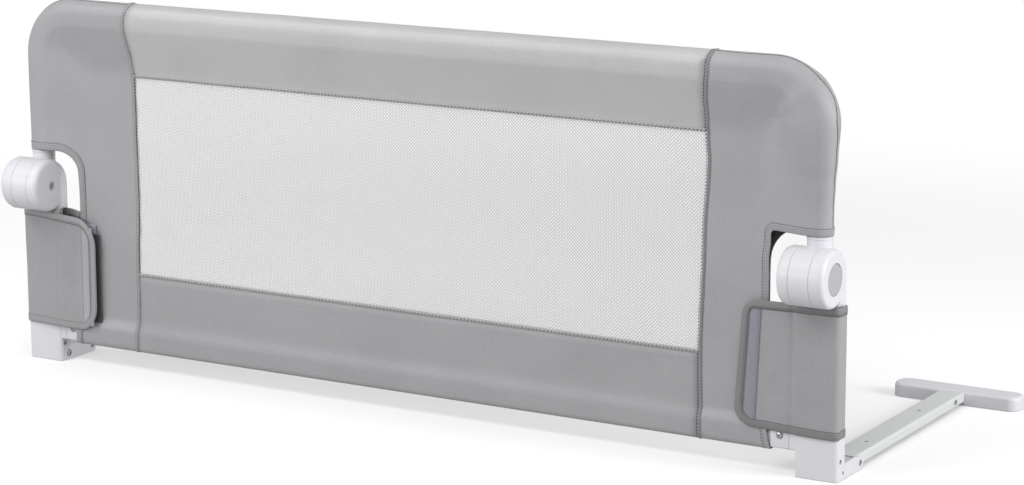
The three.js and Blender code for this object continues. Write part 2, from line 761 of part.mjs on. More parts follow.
const heelReach = Math.hypot(heelRadius, armTopZ - armPinZ);
function foot() {
  const middleX = footInnerX + footWidth / 2;
  const outline = roundedRectangle(middleX, footFrontY + footDepth / 2, footWidth, footDepth, footRound);
  const body = alongZ(shapeOf(outline), 0, footHeight);
  const innerEar = alongX(earOutline(), footInnerX, armInnerX - gap);
  const outerEar = alongX(earOutline(), armOuterX + gap, railHalf);
  const webTop = armTopZ - clevisDrop;
  const web = block(armInnerX - 2 * gap, footBackY - gap, webTop - clevisWeb,
    armOuterX + 2 * gap, armPinY - heelReach - runningGap, webTop);
  const stub = alongX(connectorBox(0), stubX, footInnerX + footRound);
  const cuts = [
    alongZ(shapeOf(postOutline(gap)), postFloor, footHeight + overrun),
    block(footInnerX + earWall, footBackY + earWall, -overrun,
      armInnerX - gap - earWall, armPinY - pivotBoss, earHeight - earWall),
    rod('x', armPinY, armPinZ, armPinRadius + gap, footInnerX - overrun, railHalf + overrun),
    alongX(keyBox(gap), stubX - overrun, stubX + keyLength + gap),
    sideHole(),
    footScrewHole(railHalf + overrun),
    rod('x', footScrewY, footScrewZ, screwHeadRadius + gap, footInnerX - overrun,
      footInnerX + screwHeadHeight / 2, screwSides),
  ];
  return build([body, innerEar, outerEar, web, stub], cuts);
}

function footScrew() {
  const seatX = footInnerX + screwHeadHeight / 2 - gap;
  return turnedOnX([
    [0, seatX - screwHeadHeight], [screwHeadRadius, seatX - screwHeadHeight / 2], [screwHeadRadius, seatX],
    [screwRadius, seatX], [screwRadius, seatX + screwLength], [0, seatX + screwLength],
  ], footScrewY, footScrewZ, screwSides);
}

// Support arm, its pin, the T-foot and its rivet
function armPin() {
  return rod('x', armPinY, armPinZ, armPinRadius, footInnerX + armPinSink, railHalf - armPinSink);
}

const armEndY = footBarY - gap;
function armSection(inset, bottomZ) {
  const round = armBend - inset;
  const [low, high] = [armInnerX + inset, armOuterX - inset];
  const top = armTopZ - inset;
  return shapeOf([
    new THREE.Vector2(low, bottomZ), new THREE.Vector2(high, bottomZ),
    ...arc(high - round, top - round, round, 0, 90, 3), ...arc(low + round, top - round, round, 90, 180, 3),
  ]);
}

function supportArm() {
  const side = shapeOf([
    ...arc(armPinY, armPinZ, heelRadius, 180, 270, 4),
    new THREE.Vector2(armPinY + heelBlend, armBottomZ), new THREE.Vector2(armEndY, armBottomZ),
    new THREE.Vector2(armEndY, armTopZ + gap), new THREE.Vector2(armPinY - heelRadius, armTopZ + gap),
  ]);
  const heelY = armPinY - heelRadius;
  const outer = solid(alongY(armSection(0, -overrun), heelY, armEndY));
  const inner = solid(alongY(armSection(armThickness, -2 * overrun), heelY - overrun, armEndY + overrun));
  const middleX = (armInnerX + armOuterX) / 2;
  const holes = [
    rod('x', armPinY, armPinZ, armPinRadius + gap, armInnerX - overrun, armOuterX + overrun),
    rod('x', rivetY, rivetZ, rivetRadius + gap, armInnerX - overrun, armOuterX + overrun, screwSides),
    ...armHoleShares.map((share) => rod('z', middleX, THREE.MathUtils.lerp(armPinY, footBarY, share),
      armHoleRadius, 0, armTopZ + overrun, screwSides)),
  ];
  const profile = solid(alongX(side, armInnerX - overrun, armOuterX + overrun));
  const bent = outer.subtract(inner).intersect(profile);
  return geometryOf(holes.reduce((rest, next) => rest.subtract(solid(next)), bent));
}

function footBar() {
  const middleY = footBarY + footBarDepth / 2;
  const outline = roundedRectangle(footBarX, middleY, footBarLength, footBarDepth, footBarCorner, 4);
  const bar = alongZ(shapeOf(outline), -2 * footBarRound, footBarHeight, footBarRound);
  const below = block(footBarX - footBarLength, footBarY - overrun, -overrun - 2 * footBarRound,
    footBarX + footBarLength, footBarY + footBarDepth + overrun, 0);
  const section = armSection(armThickness + gap, armBottomZ);
  const tongue = alongY(section, footBarY - tongueLength, footBarY + gap);
  const hole = rod('x', rivetY, rivetZ, rivetRadius + gap, armInnerX, armOuterX, screwSides);
  return build([bar, tongue], [below, hole]);
}

function rivet() {
  const low = armInnerX - gap;
  const high = armOuterX + gap;
  return turnedOnX([
    [0, low - rivetHeadHeight], [rivetHeadRadius, low - rivetHeadHeight / 2], [rivetHeadRadius, low],
    [rivetRadius, low], [rivetRadius, high], [rivetHeadRadius, high],
    [rivetHeadRadius, high + rivetHeadHeight / 2], [0, high + rivetHeadHeight],
  ], rivetY, rivetZ, screwSides);
}

// Cover and net
function coverTopBand() {
  return alongX(topBandSection(), gap - seamX, seamX - gap);
}

function coverBottomBand() {
  return alongX(hemSection(netBottomZ - gap), gap - seamX, seamX - gap);
}

function coverSideLower() {
  return alongX(hemSection(hubAxisZ - gap), seamX, notchX);
}

function coverSideUpper() {
  const foldZ = hubAxisZ + gap;
  const bendX = collarX - bendRadius;
  const bendZ = topTubeZ - bendRadius;
  const sheet = alongY(shapeOf([
    new THREE.Vector2(seamX, foldZ), new THREE.Vector2(notchX, foldZ),
    ...arc(notchX + notchRound, hemZ - notchRound, notchRound, 180, 90, 5),
    new THREE.Vector2(collarX, hemZ), ...arc(bendX, bendZ, bendRadius, 0, 90, bendSteps),
    new THREE.Vector2(seamX, topTubeZ),
  ]), -clothHalf, clothHalf);
  const sleeve = sweep(teardrop(0), [], hemZ, seamX);
  const bore = circle(0, 0, tubeRadius + sleeveGap, tubeSides);
  const channel = sweep(bore, [], hemZ - overrun, seamX - overrun);
  return build([sleeve, sheet], [channel]);
}

function net(lowZ, highZ, rows) {
  const half = seamX - gap;
  const pitchX = (2 * half - 2 * netBorder + strand) / netColumns;
  const pitchZ = (highZ - lowZ - 2 * netBorder + strand) / rows;
  const holes = [];
  for (let row = 0; row < rows; row += 1) {
    for (let column = 0; column < netColumns; column += 1) {
      const x = netBorder - half + column * pitchX;
      const z = lowZ + netBorder + row * pitchZ;
      holes.push(block(x, -netHalf - overrun, z, x + pitchX - strand, netHalf + overrun,
        z + pitchZ - strand));
    }
  }
  return build([block(-half, -netHalf, lowZ, half, netHalf, highZ)], holes);
}

// Flap: a strip of cloth bent round the post, drawn in plan along its middle line
const flapEndY = -(clothHalf + 3 * gap + 2 * stripThickness + flapThickness / 2);
function flapMiddle() {
  const corner = postRound + gap + flapThickness / 2;
  const front = postFrontY - flapFrontGap - flapThickness / 2;
  const back = postBackY + flapBackGap + flapThickness / 2;
  const side = postX + postWidth / 2 + gap + flapThickness / 2;
  return [
    new THREE.Vector2(flapEndX, flapEndY), new THREE.Vector2(flapLandX, flapEndY),
    new THREE.Vector2(flapRiseX, front),
    ...arc(side - corner, front + corner, corner, -90, 0, 4),
    ...arc(side - corner, back - corner, corner, 0, 90, 4),
    new THREE.Vector2(postInnerX + flapBackHold, back),
    new THREE.Vector2(postInnerX - flapBackReach, back - flapBackFall),
    new THREE.Vector2(notchX + flapRootInset, flapRootY),
  ];
}

function thickened(middle, thickness) {
  const sides = [[], []];
  middle.forEach((point, i) => {
    const before = middle[Math.max(i - 1, 0)];
    const after = middle[Math.min(i + 1, middle.length - 1)];
    const inwards = point.clone().sub(i > 0 ? before : after).normalize().multiplyScalar(i > 0 ? 1 : -1);
    const onwards = after.clone().sub(i < middle.length - 1 ? point : before).normalize();
    const along = inwards.add(onwards).normalize();
    const spread = thickness / 2 / along.dot(onwards);
    const across = new THREE.Vector2(-along.y, along.x).multiplyScalar(spread);
    sides[0].push(point.clone().add(across));
    sides[1].push(point.clone().sub(across));
  });
  return [...sides[0], ...sides[1].reverse()];
}

function flap() {
  const strip = alongZ(shapeOf(thickened(flapMiddle(), flapThickness)), flapBottomZ, flapTopZ);
  const far = railHalf + overrun;
  const face = shapeOf([
    new THREE.Vector2(far, flapBottomZ - gap), new THREE.Vector2(far, flapTopZ + gap),
    ...arc(flapEndX + flapRound, flapTopZ - flapRound, flapRound, 90, 180, 5),
    ...arc(flapEndX + flapRound, flapBottomZ + flapRound, flapRound, 180, 270, 5),
  ]);
  const trim = alongY(face, hubAxisY - hubRadius, footBackY + overrun);
  const passage = block(notchX - overrun, barY - barSleeveHalf - gap, flapBottomZ - overrun,
    footInnerX + gap, footBackY + overrun, barSleeveTopZ + gap);
  return geometryOf(solid(strip).intersect(solid(trim)).subtract(solid(passage)));
}

function tape(frontY) {
  const low = flapEndX + stripInset;
  return block(low, frontY, flapBottomZ + stripMargin, low + stripWidth, frontY + stripThickness,
    flapTopZ - stripMargin);
}

function hookTapeStrip() {
  return tape(flapEndY + flapThickness / 2 + gap);
}

function loopTapeStrip() {
  return tape(-clothHalf - gap - stripThickness);
}

// Assembly
const rail = new THREE.Group();
function place(name, geometry, material) {
  const mesh = new THREE.Mesh(geometry, material);
  mesh.name = name;
  rail.add(mesh);
}

const sidePieces = [
  ['lower_knuckle', lowerKnuckle, whitePlastic],
  ['knuckle_cap', knuckleCap, whitePlastic],
  ['upper_knuckle', upperKnuckle, whitePlastic],
  ['lock_gear', lockGear, lockPlastic],
  ['lock_spring', lockSpring, bareSteel],
  ['release_button', releaseButton, greyPlastic],
  ['pivot_bolt', pivotBolt, bareSteel],
  ['corner_tube', cornerTube, whiteSteel],
  ['tube_pin', tubePin, bareSteel],
  ['post', post, whiteSteel],
  ['knuckle_pin', knucklePin, bareSteel],
  ['foot', foot, whitePlastic],
  ['foot_screw', footScrew, bareSteel],
  ['arm_pin', armPin, bareSteel],
  ['support_arm', supportArm, whiteSteel],
  ['t_foot', footBar, whitePlastic],
  ['t_foot_rivet', rivet, bareSteel],
  ['lower_bar', lowerBar, whiteSteel],
  ['bar_connector', barConnector, whitePlastic],
  ['connector_screw', panScrew, bareSteel],
  ['cover_side_upper', coverSideUpper, greyCloth],
  ['cover_side_lower', coverSideLower, greyCloth],
  ['flap', flap, greyCloth],
  ['hook_tape', hookTapeStrip, hookTape],
  ['loop_tape', loopTapeStrip, hookTape],
];
for (const [name, make, material] of sidePieces) {
  const geometry = make();
  place(`right_${name}`, geometry, material);
  place(`left_${name}`, mirrored(geometry), material);
}
place('top_joiner', topJoiner(), whiteSteel);
place('bar_joiner', barJoiner(), whiteSteel);
place('cover_top_band', coverTopBand(), greyCloth);
place('cover_bottom_band', coverBottomBand(), greyCloth);
place('net_upper', net(hubAxisZ + gap, netTopZ, netRowsUpper), paleNet);
place('net_lower', net(netBottomZ, hubAxisZ - gap, netRowsLower), paleNet);

// The origin goes from the upper tube's plane to the middle of the depth
rail.position.y = -(hubAxisY - hubRadius + footBarY + footBarDepth) / 2;

export default rail;
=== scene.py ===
import json
import math

import bmesh
import bpy
from mathutils import Matrix, Vector, noise


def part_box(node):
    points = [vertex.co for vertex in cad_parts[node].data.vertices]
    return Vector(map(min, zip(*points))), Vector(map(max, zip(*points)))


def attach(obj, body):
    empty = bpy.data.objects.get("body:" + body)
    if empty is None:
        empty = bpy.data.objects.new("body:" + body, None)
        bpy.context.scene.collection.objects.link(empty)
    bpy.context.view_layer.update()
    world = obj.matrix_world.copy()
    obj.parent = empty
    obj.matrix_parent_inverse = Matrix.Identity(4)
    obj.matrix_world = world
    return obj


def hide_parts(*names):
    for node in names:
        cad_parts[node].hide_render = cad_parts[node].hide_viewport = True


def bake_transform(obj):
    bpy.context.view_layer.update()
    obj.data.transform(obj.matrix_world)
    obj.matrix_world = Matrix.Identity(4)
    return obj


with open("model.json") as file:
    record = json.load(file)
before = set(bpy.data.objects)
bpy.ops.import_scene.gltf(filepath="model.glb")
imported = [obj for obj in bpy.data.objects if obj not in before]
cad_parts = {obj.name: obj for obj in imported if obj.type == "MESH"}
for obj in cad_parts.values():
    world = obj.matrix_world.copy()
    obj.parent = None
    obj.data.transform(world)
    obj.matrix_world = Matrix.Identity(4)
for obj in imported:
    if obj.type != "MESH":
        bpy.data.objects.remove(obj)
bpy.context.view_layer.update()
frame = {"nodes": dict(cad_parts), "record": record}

# Camera: a long lens to the right of the rail and above it, looking down along it.
view_yaw, view_pitch, view_roll = (math.radians(angle) for angle in (30.82, 12.10, -0.27))
view_along = Vector((-math.sin(view_yaw) * math.cos(view_pitch), math.cos(view_yaw) * math.cos(view_pitch),
                     -math.sin(view_pitch)))
lens = bpy.data.cameras.new("camera")
lens.lens, lens.sensor_width, lens.clip_end = 102.83, 36, 60
camera = bpy.data.objects.new("camera", lens)
camera.matrix_world = (Matrix.Translation((1.650, -2.69275, 0.835))
                       @ view_along.to_track_quat("-Z", "Y").to_matrix().to_4x4()
                       @ Matrix.Rotation(view_roll, 4, "Z"))
bpy.context.scene.collection.objects.link(camera)
bpy.context.scene.camera = camera
bpy.context.scene.view_settings.view_transform = "Standard"


# Floor and light: a pale studio floor that runs out to plain white, a soft dome, a low lamp at the front
# left, high lamps left and right, a strong one beside the right end and a weak one overhead. The floor
# keeps the soft shadow under the rail.
def wire(tree, kind, sockets=(), **settings):
    made = tree.nodes.new(kind)
    for name, value in settings.items():
        setattr(made, name, value)
    for name, value in dict(sockets).items():
        if isinstance(value, bpy.types.NodeSocket):
            tree.links.new(value, made.inputs[name])
        else:
            made.inputs[name].default_value = value
    return made


def math_node(tree, operation, *values):
    made = wire(tree, "ShaderNodeMath", dict(enumerate(values)), operation=operation)
    return made.outputs[0]


def blank_material(name):
    material = bpy.data.materials.new(name)
    material.use_nodes = True
    material.node_tree.nodes.clear()
    return material, material.node_tree


def lamp(name, place, target, size, power):
    data = bpy.data.lights.new(name, "AREA")
    data.shape, data.size, data.size_y, data.energy = "RECTANGLE", size[0], size[1], power
    made = bpy.data.objects.new(name, data)
    made.location = place
    made.rotation_euler = (Vector(target) - Vector(place)).to_track_quat("-Z", "Y").to_euler()
    bpy.context.scene.collection.objects.link(made)


lamp("front_left_lamp", (-1.4, -2.5, 0.95), (-0.1, -0.1, 0.3), (2.0, 0.7), 27)
lamp("high_left_lamp", (-1.4, -1.6, 2.3), (-0.3, -0.1, 0.2), (1.8, 1.0), 26)
lamp("high_right_lamp", (1.2, -1.9, 2.2), (0.2, -0.1, 0.2), (1.8, 1.0), 17)
lamp("right_lamp", (3.0, 0.1, 0.95), (0.1, -0.15, 0.2), (1.4, 1.4), 58)
lamp("top_lamp", (0.0, 0.1, 2.6), (0.0, -0.1, 0.0), (2.8, 1.8), 10)

world = bpy.data.worlds.new("studio")
world.use_nodes = True
tree = world.node_tree
tree.nodes.clear()
rays = wire(tree, "ShaderNodeLightPath")
seen = math_node(tree, "MAXIMUM", rays.outputs["Is Camera Ray"], rays.outputs["Is Transmission Ray"])
strength = wire(tree, "ShaderNodeMix", {"Factor": seen, "A": 0.44, "B": 1.0})
dome = wire(tree, "ShaderNodeBackground", {"Color": (1, 1, 1, 1), "Strength": strength.outputs[0]})
wire(tree, "ShaderNodeOutputWorld", {"Surface": dome.outputs[0]})
bpy.context.scene.world = world

floor_mesh = bpy.data.meshes.new("floor")
bm = bmesh.new()
bmesh.ops.create_grid(bm, x_segments=2, y_segments=2, size=14)
bmesh.ops.translate(bm, vec=(0, 0, -0.0004), verts=bm.verts)
bm.to_mesh(floor_mesh)
bm.free()
floor = bpy.data.objects.new("floor", floor_mesh)
bpy.context.scene.collection.objects.link(floor)
studio_floor, tree = blank_material("studio_floor")
place = wire(tree, "ShaderNodeTexCoord").outputs["Object"]
distance = wire(tree, "ShaderNodeVectorMath", {0: place}, operation="LENGTH").outputs["Value"]
reach = wire(tree, "ShaderNodeMapRange", {0: distance, 1: 0.75, 2: 1.7}, interpolation_type="SMOOTHSTEP")
camera_ray = wire(tree, "ShaderNodeLightPath").outputs["Is Camera Ray"]
tone = wire(tree, "ShaderNodeMix", {"Factor": camera_ray, "A": 0.5, "B": 0.8})
paint = wire(tree, "ShaderNodeBsdfDiffuse", {"Color": tone.outputs[0]})
lift = wire(tree, "ShaderNodeEmission", {"Strength": math_node(tree, "MULTIPLY", camera_ray, 0.2)})
lifted = wire(tree, "ShaderNodeAddShader", {0: paint.outputs[0], 1: lift.outputs[0]})
plain = wire(tree, "ShaderNodeEmission", {"Strength": 1.0})
far = math_node(tree, "MULTIPLY", camera_ray, reach.outputs[0])
both = wire(tree, "ShaderNodeMixShader", {0: far, 1: lifted.outputs[0], 2: plain.outputs[0]})
wire(tree, "ShaderNodeOutputMaterial", {"Surface": both.outputs[0]})
floor_mesh.materials.append(studio_floor)


# Feet, hubs, T-feet and bar connectors: injection moulded plastic, white with a cool cast. The mouldings
# have eased edges, a fine grain, slightly uneven gloss and a little rubbing along their edges.
def group(name, sockets_in, sockets_out):
    tree = bpy.data.node_groups.new(name, "ShaderNodeTree")
    for label, kind, value in sockets_in:
        socket = tree.interface.new_socket(name=label, in_out="INPUT", socket_type=kind)
        socket.default_value = value
    for label, kind in sockets_out:
        tree.interface.new_socket(name=label, in_out="OUTPUT", socket_type=kind)
    return tree, wire(tree, "NodeGroupInput").outputs, tree.nodes.new("NodeGroupOutput").inputs


surface, given, out = group(
    "eased_surface",
    [("Color", "NodeSocketColor", (0.8, 0.8, 0.8, 1)), ("Rubbed", "NodeSocketColor", (0.7, 0.7, 0.7, 1)),
     ("Rubbing", "NodeSocketFloat", 0.3), ("Roughness", "NodeSocketFloat", 0.4),
     ("Grain", "NodeSocketFloat", 900.0), ("Grain Depth", "NodeSocketFloat", 0.1),
     ("Edge", "NodeSocketFloat", 0.0006)],
    [("Color", "NodeSocketColor"), ("Roughness", "NodeSocketFloat"), ("Normal", "NodeSocketVector")])
place = wire(surface, "ShaderNodeTexCoord").outputs["Object"]
eased = wire(surface, "ShaderNodeBevel", {"Radius": given["Edge"]}, samples=6)
flat = wire(surface, "ShaderNodeNewGeometry").outputs["Normal"]
along = wire(surface, "ShaderNodeVectorMath", {0: eased.outputs[0], 1: flat}, operation="DOT_PRODUCT")
edge = wire(surface, "ShaderNodeMapRange", {0: along.outputs["Value"], 1: 0.985, 2: 0.86, 3: 0.0, 4: 1.0})
blotch = wire(surface, "ShaderNodeTexNoise", {"Vector": place, "Scale": 34.0, "Detail": 4.0}).outputs[0]
rub = math_node(surface, "MULTIPLY", edge.outputs[0], blotch)
rub = math_node(surface, "MULTIPLY", rub, given["Rubbing"])
shade = wire(surface, "ShaderNodeMapRange", {0: blotch, 3: 0.972, 4: 1.02}).outputs[0]
tint = wire(surface, "ShaderNodeVectorMath", {0: given["Color"], "Scale": shade}, operation="SCALE")
colour = wire(surface, "ShaderNodeMix", {"Factor": rub, "A": tint.outputs[0], "B": given["Rubbed"]},
              data_type="RGBA")
surface.links.new(colour.outputs["Result"], out["Color"])
smear = wire(surface, "ShaderNodeTexNoise", {"Vector": place, "Scale": 12.0, "Detail": 5.0}).outputs[0]
gloss = wire(surface, "ShaderNodeMapRange", {0: smear, 3: -0.05, 4: 0.07}).outputs[0]
surface.links.new(math_node(surface, "ADD", given["Roughness"], gloss), out["Roughness"])
grain = wire(surface, "ShaderNodeTexNoise", {"Vector": place, "Scale": given["Grain"], "Detail": 2.0})
relief = wire(surface, "ShaderNodeBump", {"Strength": given["Grain Depth"], "Distance": 0.0002,
                                          "Height": grain.outputs[0], "Normal": eased.outputs[0]})
surface.links.new(relief.outputs[0], out["Normal"])


def eased_material(name, colour, rubbed, roughness, grain_depth, rubbing=0.3, edge=0.0006, **fixed):
    material, tree = blank_material(name)
    look = wire(tree, "ShaderNodeGroup", node_tree=surface)
    for label, value in (("Color", (*colour, 1)), ("Rubbed", (*rubbed, 1)), ("Rubbing", rubbing),
                         ("Roughness", roughness), ("Grain Depth", grain_depth), ("Edge", edge)):
        look.inputs[label].default_value = value
    shader = wire(tree, "ShaderNodeBsdfPrincipled", {
        "Base Color": look.outputs["Color"], "Roughness": look.outputs["Roughness"],
        "Normal": look.outputs["Normal"], **{key.replace("_", " "): value for key, value in fixed.items()}})
    wire(tree, "ShaderNodeOutputMaterial", {"Surface": shader.outputs[0]})
    return material


white_plastic = eased_material("white_plastic", (0.67, 0.665, 0.70), (0.60, 0.60, 0.63), 0.38, 0.12)
bodies = frame["record"]["behaviour"]["bodies"]
body_of_node = {name: body for body, names in bodies.items() for name in names}


def moulded(node, material, edge=0.0005, limit=50):
    """The node's own shape with its facets joined, its edges eased and its curved faces smooth."""
    bm = bmesh.new()
    bm.from_mesh(frame["nodes"][node].data)
    bmesh.ops.remove_doubles(bm, verts=bm.verts, dist=2e-5)
    bmesh.ops.dissolve_limit(bm, angle_limit=math.radians(0.6), verts=bm.verts, edges=bm.edges)
    for face in bm.faces:
        face.smooth = True
    for line in bm.edges:
        line.smooth = line.calc_face_angle(math.pi) < math.radians(limit)
    mesh = bpy.data.meshes.new(node + "_moulding")
    bm.to_mesh(mesh)
    bm.free()
    mesh.materials.append(material)
    made = bpy.data.objects.new(node + "_moulding", mesh)
    bpy.context.scene.collection.objects.link(made)
    if edge:
        ease = made.modifiers.new("eased_edges", "BEVEL")
        ease.width, ease.segments, ease.limit_method, ease.angle_limit = edge, 2, "ANGLE", math.radians(limit)
    weigh = made.modifiers.new("flat_faces", "WEIGHTED_NORMAL")
    weigh.keep_sharp = True
    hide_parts(node)
    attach(made, body_of_node[node])
    return made


for side in ("right", "left"):
    moulded(f"{side}_foot", white_plastic, 0.0008)
    moulded(f"{side}_bar_connector", white_plastic, 0.0004)
    moulded(f"{side}_lower_knuckle", white_plastic, 0.00015)
    moulded(f"{side}_knuckle_cap", white_plastic, 0.00015)
    moulded(f"{side}_upper_knuckle", white_plastic, 0.00015)
    moulded(f"{side}_t_foot", white_plastic, 0.0006)

# Release buttons: softer grey plastic discs in the hubs' outer ends, matt, with a fine spark-eroded grain.
grey_plastic = eased_material("grey_plastic", (0.40, 0.40, 0.42), (0.48, 0.48, 0.50), 0.5, 0.3)
for side in ("right", "left"):
    moulded(f"{side}_release_button", grey_plastic, 0.0004)

# Support arms, posts, tubes and bars: bent and drawn steel under a pale powder coat, which is slightly
# lumpy like orange peel and goes thin and dull along the sharp edges.
coated_steel = eased_material("coated_steel", (0.62, 0.645, 0.635), (0.45, 0.46, 0.46), 0.42, 0.35,
                              rubbing=0.5, edge=0.0004)
for side in ("right", "left"):
    moulded(f"{side}_support_arm", coated_steel, 0.0003)
    moulded(f"{side}_post", coated_steel, 0.0003)
    moulded(f"{side}_lower_bar", coated_steel, 0.0003)

# Locks, pins and upper tubes: the toothed gears are dark glass-filled plastic, the springs, pins and rivets
# plated steel, the tubes coated steel. Nearly all of them are hidden, so the model's own shapes do.
dark_plastic = eased_material("dark_plastic", (0.07, 0.072, 0.078), (0.16, 0.16, 0.17), 0.5, 0.4)
plated_steel = eased_material("plated_steel", (0.50, 0.51, 0.53), (0.62, 0.62, 0.63), 0.3, 0.1,
                              rubbing=0.6, edge=0.0002, Metallic=1.0)
finish_of = {"lock_gear": dark_plastic, "lock_spring": plated_steel, "tube_pin": plated_steel,
             "knuckle_pin": plated_steel, "arm_pin": plated_steel, "t_foot_rivet": plated_steel,
             "corner_tube": coated_steel, "joiner": coated_steel}
for name, cad in frame["nodes"].items():
    for held in cad.material_slots:
        held.material = finish_of.get(name.split("_", 1)[-1], held.material)


# Screws: plated, with low round heads and a cross recess pressed into them. One holds each connector
# on the bar, one each foot on its post, and the bolt that each hub turns on has the same kind of head.
bright_steel = eased_material("bright_steel", (0.55, 0.56, 0.58), (0.7, 0.7, 0.72), 0.3, 0.1,
                              rubbing=0.5, edge=0.0004, Metallic=0.6)
# Near black for the cross recess and the skirt under each head: painted shade in the recess and painted
# shadow under the rim.
painted_shade_recess = eased_material("painted_shade_recess", (0.02, 0.02, 0.022), (0.03, 0.03, 0.03), 0.7, 0.1)


def cross_screw(node, place, towards, radius, height, shank_radius, shank_length):
    """A domed head with its cross sunk in and a skirt under its rim, both painted near black as shade, on a
    plain shank.
    """
    bm = bmesh.new()
    bmesh.ops.create_grid(bm, x_segments=5, y_segments=5, size=1)
    for v in bm.verts:
        reach = max(abs(v.co.x), abs(v.co.y))
        v.co *= 1 / v.co.length if reach > 0.9 else 0.86
        v.co.z = height * (1 - 0.6 * v.co.length ** 2)
        v.co.x, v.co.y = v.co.x * radius, v.co.y * radius
    recess = []
    for face in bm.faces:
        middle = face.calc_center_median()
        if min(abs(middle.x), abs(middle.y)) < 0.1 * radius and middle.xy.length < 0.55 * radius:
            face.material_index = 1
            recess.append(face)
    bmesh.ops.inset_region(bm, faces=recess, thickness=radius * 0.04, depth=-height)
    rim = [e for e in bm.edges if e.is_boundary]
    skirt = bmesh.ops.extrude_edge_only(bm, edges=rim)["geom"]
    for v in (g for g in skirt if isinstance(g, bmesh.types.BMVert)):
        v.co = (v.co.x * 1.16, v.co.y * 1.16, height * 0.25)
    for face in (g for g in skirt if isinstance(g, bmesh.types.BMFace)):
        face.material_index = 1
    shank = bmesh.ops.create_cone(bm, segments=16, cap_ends=True, radius1=shank_radius, radius2=shank_radius,
                                  depth=shank_length)["verts"]
    bmesh.ops.translate(bm, vec=(0, 0, height * 0.2 - shank_length / 2), verts=shank)
    turn = Vector(towards).to_track_quat("Z", "Y").to_matrix().to_4x4()
    bmesh.ops.transform(bm, matrix=Matrix.Translation(place) @ turn, verts=bm.verts)
    mesh = bpy.data.meshes.new(node + "_with_cross")
    for face in bm.faces:
        face.smooth = True
    for line in bm.edges:
        line.smooth = line.calc_face_angle(math.pi) < math.radians(40)
    bm.to_mesh(mesh)
    bm.free()
    mesh.materials.append(bright_steel)
    mesh.materials.append(painted_shade_recess)
    made = bpy.data.objects.new(node + "_with_cross", mesh)
    bpy.context.scene.collection.objects.link(made)
    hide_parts(node)
    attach(made, body_of_node[node])


for side, hand in (("right", 1), ("left", -1)):
    low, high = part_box(f"{side}_pivot_bolt")
    inner = low.x if hand > 0 else high.x
    middle = (low + high) / 2
    cross_screw(f"{side}_pivot_bolt", (inner + hand * 0.0012, middle.y, middle.z), (-hand, 0, 0),
                (high.z - low.z) / 2, 0.0014, 0.0028, 0.040)
    low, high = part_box(f"{side}_foot_screw")
    inner = low.x if hand > 0 else high.x
    middle = (low + high) / 2
    cross_screw(f"{side}_foot_screw", (inner + hand * 0.0008, middle.y, middle.z), (-hand, 0, 0),
                0.0034, 0.0012, 0.0013, 0.007)
    low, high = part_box(f"{side}_connector_screw")
    middle = (low + high) / 2
    cross_screw(f"{side}_connector_screw", (middle.x, low.y + 0.0012, middle.z), (0, -1, 0),
                0.0030, 0.0014, 0.0013, 0.006)

# Cover, cut and sewn from coated polyester cloth: a sleeve round the upper tube across the middle and a
# wide band at the bottom round the lower bar. Both are drawn tight, with shallow puckers at the seams.
# Its sizes are in millimetres, depths from the upper tube's middle plane, and each side has its own cut.
MM = 0.001
tube_low, tube_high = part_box("top_joiner")
rail_y = (tube_low.y + tube_high.y) / 2
tube_z, upright_x, bend = 405, 483.8, 50        # the upper tube's axis and the radius of its corners
bend_x, bend_z = upright_x - bend, tube_z - bend
cloth_thick, flat_half = 0.8, 1.4               # one layer, and half the depth of the flat double cloth
sleeve, straight_down, tail = 14.1, 15, 64      # the sleeve's radius, its straight part and its whole drop
bar_off, bar_sleeve = 2.5, 8.0                  # how far back the lower bar lies, and half its sleeve's depth
net_low, net_high = 114, 337
hem_z, hem_low = 246.6, 24                      # of the upper sleeve beside the hub, and of the whole cover
seam_at, notch_at, notch_round = 355.5, 432.5, 24
band_steps, corner_steps, pocket_steps = 72, 18, 13
seam_shape = {  # height and distance from the middle of the sewn side seams, right and left
    1: ((20, 355), (115, 353.4), (228, 357), (309, 361.5),
        (337, 359.5), (369, 360.5), (401, 364.5), (425, 367.5)),
    -1: ((20, 353), (114, 351.6), (200, 349), (337, 350), (358, 351), (395, 353.5), (425, 348)),
}
sleeve_fullness = {  # share by which the sleeve is wider than cut, from the corner's start down to its hem
    1: ((0, 0), (0.12, 0.02), (0.26, 0.22), (0.42, 0.28),
        (0.60, 0.14), (0.72, 0.02), (0.87, -0.05), (1, -0.055)),
    -1: ((0, 0), (0.2, -0.045), (1, -0.055)),
}
notch_shift = {  # height and how far outwards the notch's edge runs from where it was marked
    1: ((24, 3.5), (36, 0.5), (50, -2), (64, -2.6), (215, -2.6), (236, 0)),
    -1: ((24, 8), (60, 6), (110, 2), (170, 0)),
}


def eased(share):
    """Nought to one with soft ends."""
    share = min(max(share, 0), 1)
    return (3 - 2 * share) * share * share


def between(places, at):
    """A value read off a row of places and values, eased from one to the next."""
    for (low, first), (high, last) in zip(places, places[1:]):
        if at <= high:
            return first + (last - first) * eased((at - low) / (high - low))
    return places[-1][1]


def sleeve_half(inwards):
    """How far the cloth stands from the middle plane, by the distance inwards from the tube's axis."""
    if inwards <= 0:
        return math.sqrt(max(sleeve ** 2 - inwards ** 2, 0))
    if inwards <= straight_down:
        return sleeve - 0.6 * (inwards / straight_down) ** 2
    share = min((inwards - straight_down) / (tail - straight_down), 1)
    return flat_half + (sleeve - 0.6 - flat_half) * (1 - share) ** 1.12


